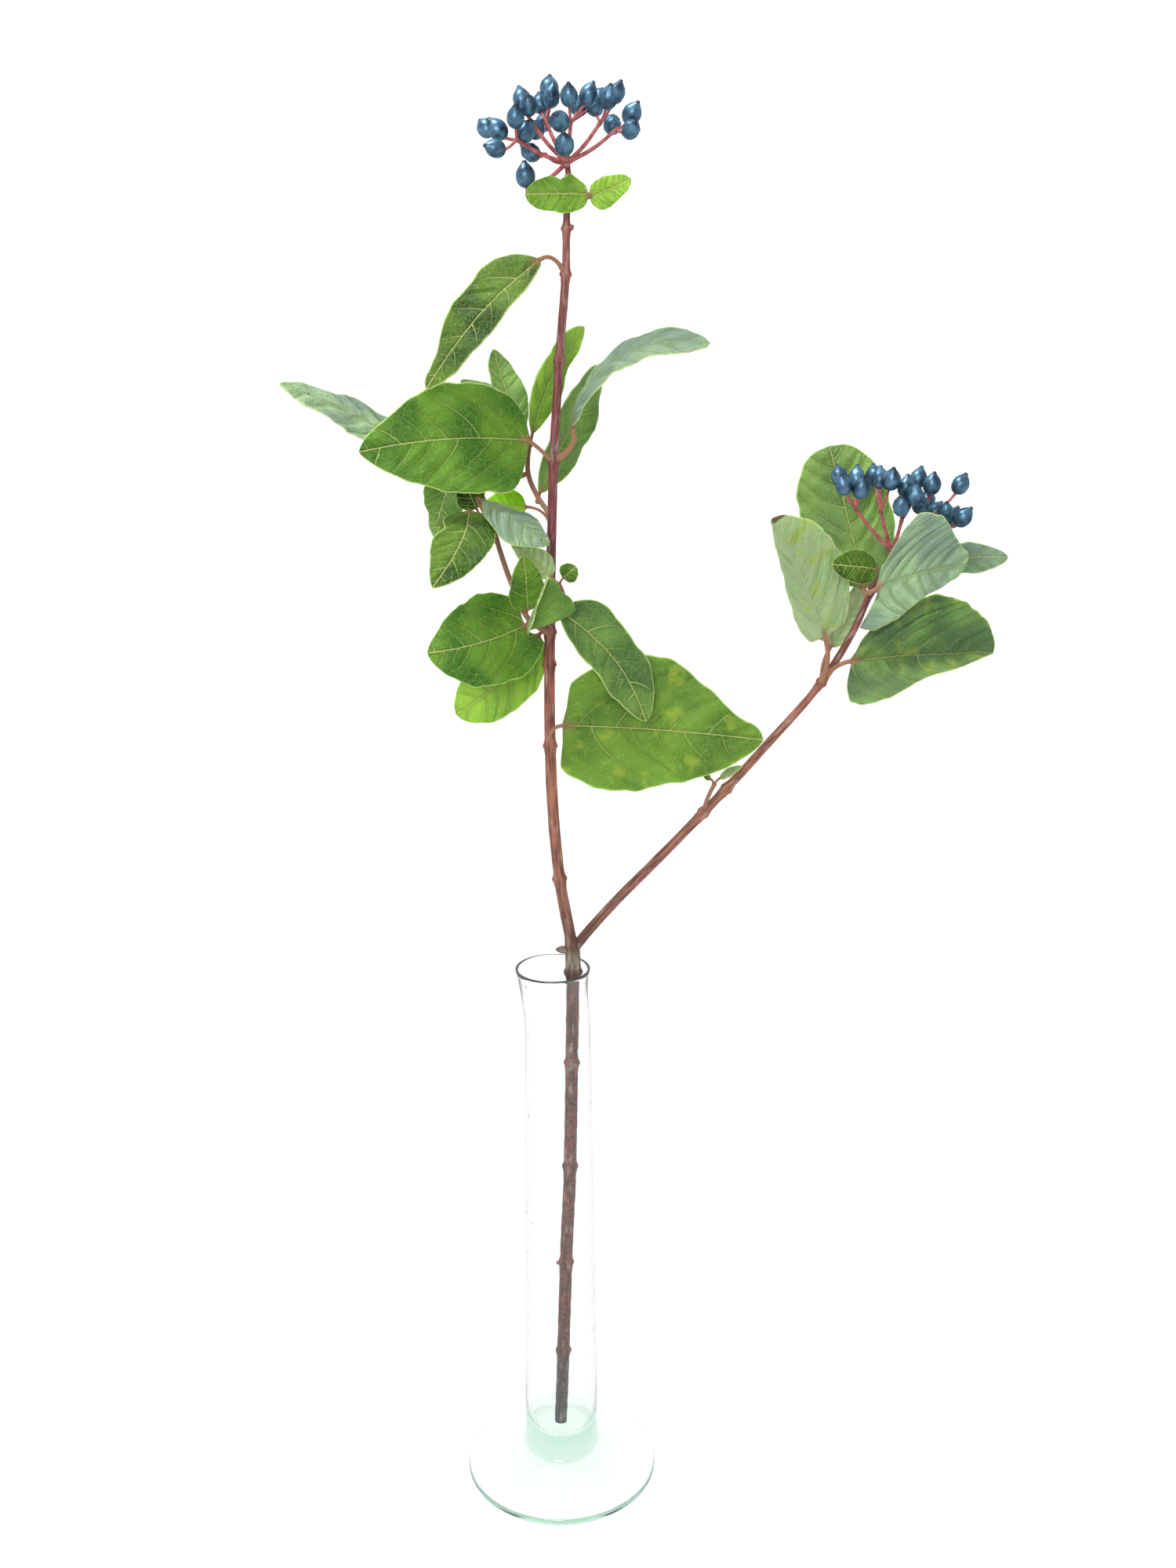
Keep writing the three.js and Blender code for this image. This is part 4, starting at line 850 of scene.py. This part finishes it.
HEADS = {
    "berries_top": {
        "start": (6.1, 9, 511.5),
        "fork": (5.6, 8.4, 515.5),
        "rays": [
            ((-11, -1, 522), [(-17.5, 0, 525.5), (-22, 12, 527), (-18, -6, 519), (-8, 2, 525),
             (-11, -7, 528.5)]),
            ((-6.5, 6, 528.5), [(-6.8, -3, 532.5), (-9.5, 10, 536), (-5, 14, 526.5)]),
            ((-1.5, 14, 529), [(-3.5, 20, 535.5), (-2.5, 26, 530), (0.5, 13, 537), (-0.5, 24, 541)]),
            ((7, 4, 528), [(6.5, -3, 535.5), (13, 2, 536.5), (3.5, -10, 527), (9.5, 16, 534.5),
             (16.5, 21, 537.5)]),
            ((17, 6, 528), [(15, 11, 534), (19.5, -1, 535), (22.5, 8, 537.5)]),
            ((22.5, 8, 526), [(27.5, 3, 530.5), (27, -4, 525), (21, 17, 528.5)]),
            ((-2, 11, 518.5), [(-7, 14, 519.5)]),
            ((-8, 7.5, 506.5), [(-8.5, 7, 511.5)]),
            ((5.5, -6, 515), [(5, -14, 519.5)]),
        ],
    },
    "berries_side": {
        "start": (121.7, 8, 380),
        "fork": (122.3, 8, 383.5),
        "rays": [
            ((108.5, 9, 398.5), [(104, 20, 409), (103, 3, 407.5), (109.5, 15, 409), (109.5, 4, 406.5)]),
            ((117.5, 8, 397.5), [(117, 22, 409), (117.5, 12, 409), (119, -2, 410)]),
            ((124, 2, 395), [(125, 1, 407), (122.5, -4, 401), (126.8, -5, 405), (130.5, 8, 409.5)]),
            ((132, 6, 394), [(130, 0, 401), (134, 1, 408), (136.5, 20, 400.5), (138.5, 13, 397)]),
            ((137.2, 3, 398.3), [(145, 5, 407.5)]),
            ((139.5, 3, 392), [(138.5, -3, 398.5), (145.5, 0, 396.5), (143.5, 7, 395.5)]),
        ],
    },
}
BERRY_LENGTH = 8.6
BERRY_RADIUS = 3.05
BERRY_STEPS = 30
BERRY_SIDES = 26
HEAD_STALK = 1
HEAD_STALK_STEPS = 8
RAY = 0.7
RAY_STEPS = 26
RAY_SIDES = 12
BERRY_STALK = 0.5
BERRY_STALK_STEPS = 14
BERRY_STALK_SIDES = 10
STALK_END = 0.38
BERRY_RISE = 0.5
SIZE_SPREAD = 0.05
BERRY_SEED = 41343
DRY_SHARE = 0.35
DRY_CREASES = 0.14
FIRM_CREASES = 0.012
BERRY_PROFILE = [
    (0.02, -0.46), (0.34, -0.44), (0.74, -0.34), (0.96, -0.2), (1.03, -0.05), (1, 0.08), (0.88, 0.19),
    (0.69, 0.29), (0.47, 0.38), (0.31, 0.44), (0.24, 0.48), (0.22, 0.515), (0.14, 0.53), (0.02, 0.52),
]


def berry_rings(middle, pointing, size, dryness, turn):
    """The profile carried round the pointing axis. That axis's length scales the height, and size the
    radius. The radius is less by creases dryness |sin(3 a + 5 z + turn) sin(2 a - 11 z + 2 turn)|^0.5,
    and the crown at its end has five lobes."""
    r, z = smooth_path(BERRY_PROFILE, BERRY_STEPS).T[:, :, None]
    angle = around(BERRY_SIDES)[None]
    height = z * BERRY_LENGTH
    creases = np.abs(np.sin(3 * angle + 5 * z + turn) * np.sin(2 * angle - 11 * z + 2 * turn)) ** 0.5
    body = np.clip(1 - np.abs(2 * z) ** 3, 0, 1)
    crown = np.clip((z - 0.44) / 0.05, 0, 1) * 0.12 * np.cos(5 * angle)
    outline = 1 + 0.02 * np.cos(2 * angle + turn) - dryness * creases * body + crown
    radius = r * BERRY_RADIUS * size * outline
    side = unit(np.cross(SECTION_WAY, pointing))
    up = unit(np.cross(pointing, side))
    return (middle + (radius * np.cos(angle))[..., None] * side + (radius * np.sin(angle))[..., None] * up
            + (height + 0 * angle)[..., None] * pointing)


def skin_material(name, constants, tones, patch, mark, fine):
    """A skin in two tones that lie in patches, with a third where the mark is. fine is its relief:
    the noise's scale and detail, and the strength and depth in metres."""
    material, tree, shader = new_material(name, constants)
    place = add(tree, "TexCoord").outputs["Object"]
    dark, light, marked = (paint(code) for code in tones)
    colour = blend(tree, remap(tree, noise(tree, place, patch, 4), 0.3, 0.7, 0, 1), dark, light)
    colour = blend(tree, mark_of(tree, mark), colour, marked)
    tree.links.new(colour, shader.inputs["Base Color"])
    scale, detail, strength, depth = fine
    set_relief(tree, shader, noise(tree, place, scale, detail), strength, depth)
    return material


def berry_material():
    """Firm waxy skin: dark steel blue with a soft metal shimmer, and a dark slate crown."""
    gloss = [("Metallic", 0.75), ("Roughness", 0.4), ("Specular Tint", (0.3, 0.45, 0.6, 1)),
             ("Coat Weight", 0.2), ("Coat Roughness", 0.3)]
    tones = 0x243444, 0x5C849E, 0x2B2F3B
    return skin_material("berry skin", gloss, tones, 260, "crown", (1500, 5, 0.35, 0.00015))


def stalk_material():
    """Crimson-pink stalks, browner at their joints."""
    tones = 0x742830, 0xB86460, 0x6A4636
    return skin_material("berry stalks", [("Roughness", 0.5)], tones, 420, "joint", (420, 4, 0.5, 0.0002))


def stalk_rings(points, radius, end_radius, count, sides):
    """A stalk that narrows from radius to end_radius, thicker at both of its joints."""
    t = np.linspace(0, 1, count)[:, None]
    joints = 0.45 * np.exp(-(t / 0.07) ** 2) + 0.35 * np.exp(-((t - 1) / 0.07) ** 2)
    return rod_rings(smooth_path(points, count), (radius + (end_radius - radius) * t) * (1 + joints), sides)


def head_parts(head, draw):
    """The stalks and the berries of one head, each as a list of rings."""
    fork = np.array(head["fork"], float)
    stalks = [stalk_rings([head["start"], fork], HEAD_STALK, HEAD_STALK, HEAD_STALK_STEPS, RAY_SIDES)]
    berries = []
    for knot, places in head["rays"]:
        knot = np.array(knot, float)
        knee = (fork + knot) / 2 - np.array([0, 0, 1])
        stalks.append(stalk_rings([fork, knee, knot], RAY * 1.1, RAY * 0.85, RAY_STEPS, RAY_SIDES))
        for place in places:
            middle = np.array(place, float)
            pointing = unit(unit(middle - knot) + np.array([0, 0, BERRY_RISE]))
            root = middle - pointing * STALK_END * BERRY_LENGTH
            sag = (knot + root) / 2 + np.array([0, 0, -0.35])
            stalks.append(stalk_rings([knot, sag, root], BERRY_STALK, BERRY_STALK * 0.95,
                                      BERRY_STALK_STEPS, BERRY_STALK_SIDES))
            dryness = DRY_CREASES if draw.random() < DRY_SHARE else FIRM_CREASES
            turn = draw.uniform(0, 2 * pi)
            size = 1 + SIZE_SPREAD * sin(5 * turn)
            berries.append(berry_rings(middle, pointing * size, size, dryness, turn))
    return stalks, berries


def joint_share(rings):
    """How much of a joint each point of a stalk is: 1 at both ends, falling off within a tenth."""
    t = np.linspace(0, 1, len(rings))
    brown = np.clip(np.exp(-(t / 0.06) ** 2) + np.exp(-((t - 1) / 0.06) ** 2), 0, 1)
    return np.concatenate([np.repeat(brown, rings.shape[1]), [1, 1]])


stalk_finish, berry_finish = stalk_material(), berry_material()
crown_share = np.clip((np.linspace(0, 1, BERRY_STEPS) - 0.86) / 0.06, 0, 1)
crown = np.concatenate([np.repeat(crown_share, BERRY_SIDES), [0, 1]])
draw = np.random.default_rng(BERRY_SEED)
for name, head in HEADS.items():
    stalks, berries = head_parts(head, draw)
    points, faces = together([skin(rings) for rings in stalks])
    red = make_piece(name + "_stalks", points, faces, stalk_finish, "berries", name)
    set_mark(red, "joint", np.concatenate([joint_share(rings) for rings in stalks]))
    points, faces = together([skin(rings) for rings in berries])
    blue = make_piece(name + "_fruit", points, faces, berry_finish, "berries", name)
    set_mark(blue, "crown", np.tile(crown, len(berries)))


# The studio
# A white table that is lit from within, so it has no edge and no shadow. The light all round is
# white, strongest behind the object, with a soft lamp above and one in front.

TABLE_REACH = 6
TABLE_DROP = 0.0003
TABLE_GLOW = 1.08, 1.12
LIGHT_IN_FRONT = 0.5
LIGHT_BEHIND = 1.1


def table_material():
    """White acrylic that glows: its own light, with a faint unevenness."""
    material, tree, shader = new_material("white table", [
        ("Base Color", (0, 0, 0, 1)), ("Specular IOR Level", 0), ("Emission Color", (1, 1, 1, 1))])
    grain = noise(tree, add(tree, "TexCoord").outputs["Object"], 30, 2)
    tree.links.new(remap(tree, grain, 0, 1, *TABLE_GLOW), shader.inputs["Emission Strength"])
    return material


corners = [(x * TABLE_REACH, y * TABLE_REACH, -TABLE_DROP) for x, y in ((-1, -1), (1, -1), (1, 1), (-1, 1))]
table = bpy.data.meshes.new("table")
table.from_pydata(corners, [], [(0, 1, 2, 3)])
table.materials.append(table_material())
table_top = into_scene("table", table)

world = bpy.data.worlds.new("studio")
world.use_nodes = True
sky = world.node_tree
way = add(sky, "SeparateXYZ", [(0, add(sky, "TexCoord").outputs["Generated"])]).outputs["Y"]
level = remap(sky, way, -0.6, 0.75, LIGHT_IN_FRONT, LIGHT_BEHIND)
sky.nodes["Background"].inputs["Color"].default_value = (1, 1, 1, 1)
sky.links.new(level, sky.nodes["Background"].inputs["Strength"])
bpy.context.scene.world = world


def soft_lamp(name, place, aim, size, watts):
    """A square area lamp at place, turned to face aim."""
    lamp = bpy.data.lights.new(name, "AREA")
    lamp.size = size
    lamp.energy = watts
    holder = into_scene(name, lamp)
    holder.location = place
    way = aim - np.array(place)
    holder.rotation_euler = (np.arctan2(np.hypot(way[0], way[1]), -way[2]), 0, np.arctan2(-way[0], way[1]))


# Where each lamp stands, how wide it is, and its watts.
LAMPS = {
    "top lamp": ((-0.35, -0.1, 1.45), 0.4, 14),
    "front lamp": ((-0.2, -1.1, 0.8), 0.45, 9),
}
LAMP_AIM = np.array([0.02, 0, 0.35])
for name, (place, size, watts) in LAMPS.items():
    soft_lamp(name, place, LAMP_AIM, size, watts)

bpy.context.scene.view_settings.view_transform = "Standard"
bpy.context.scene.view_settings.look = "None"
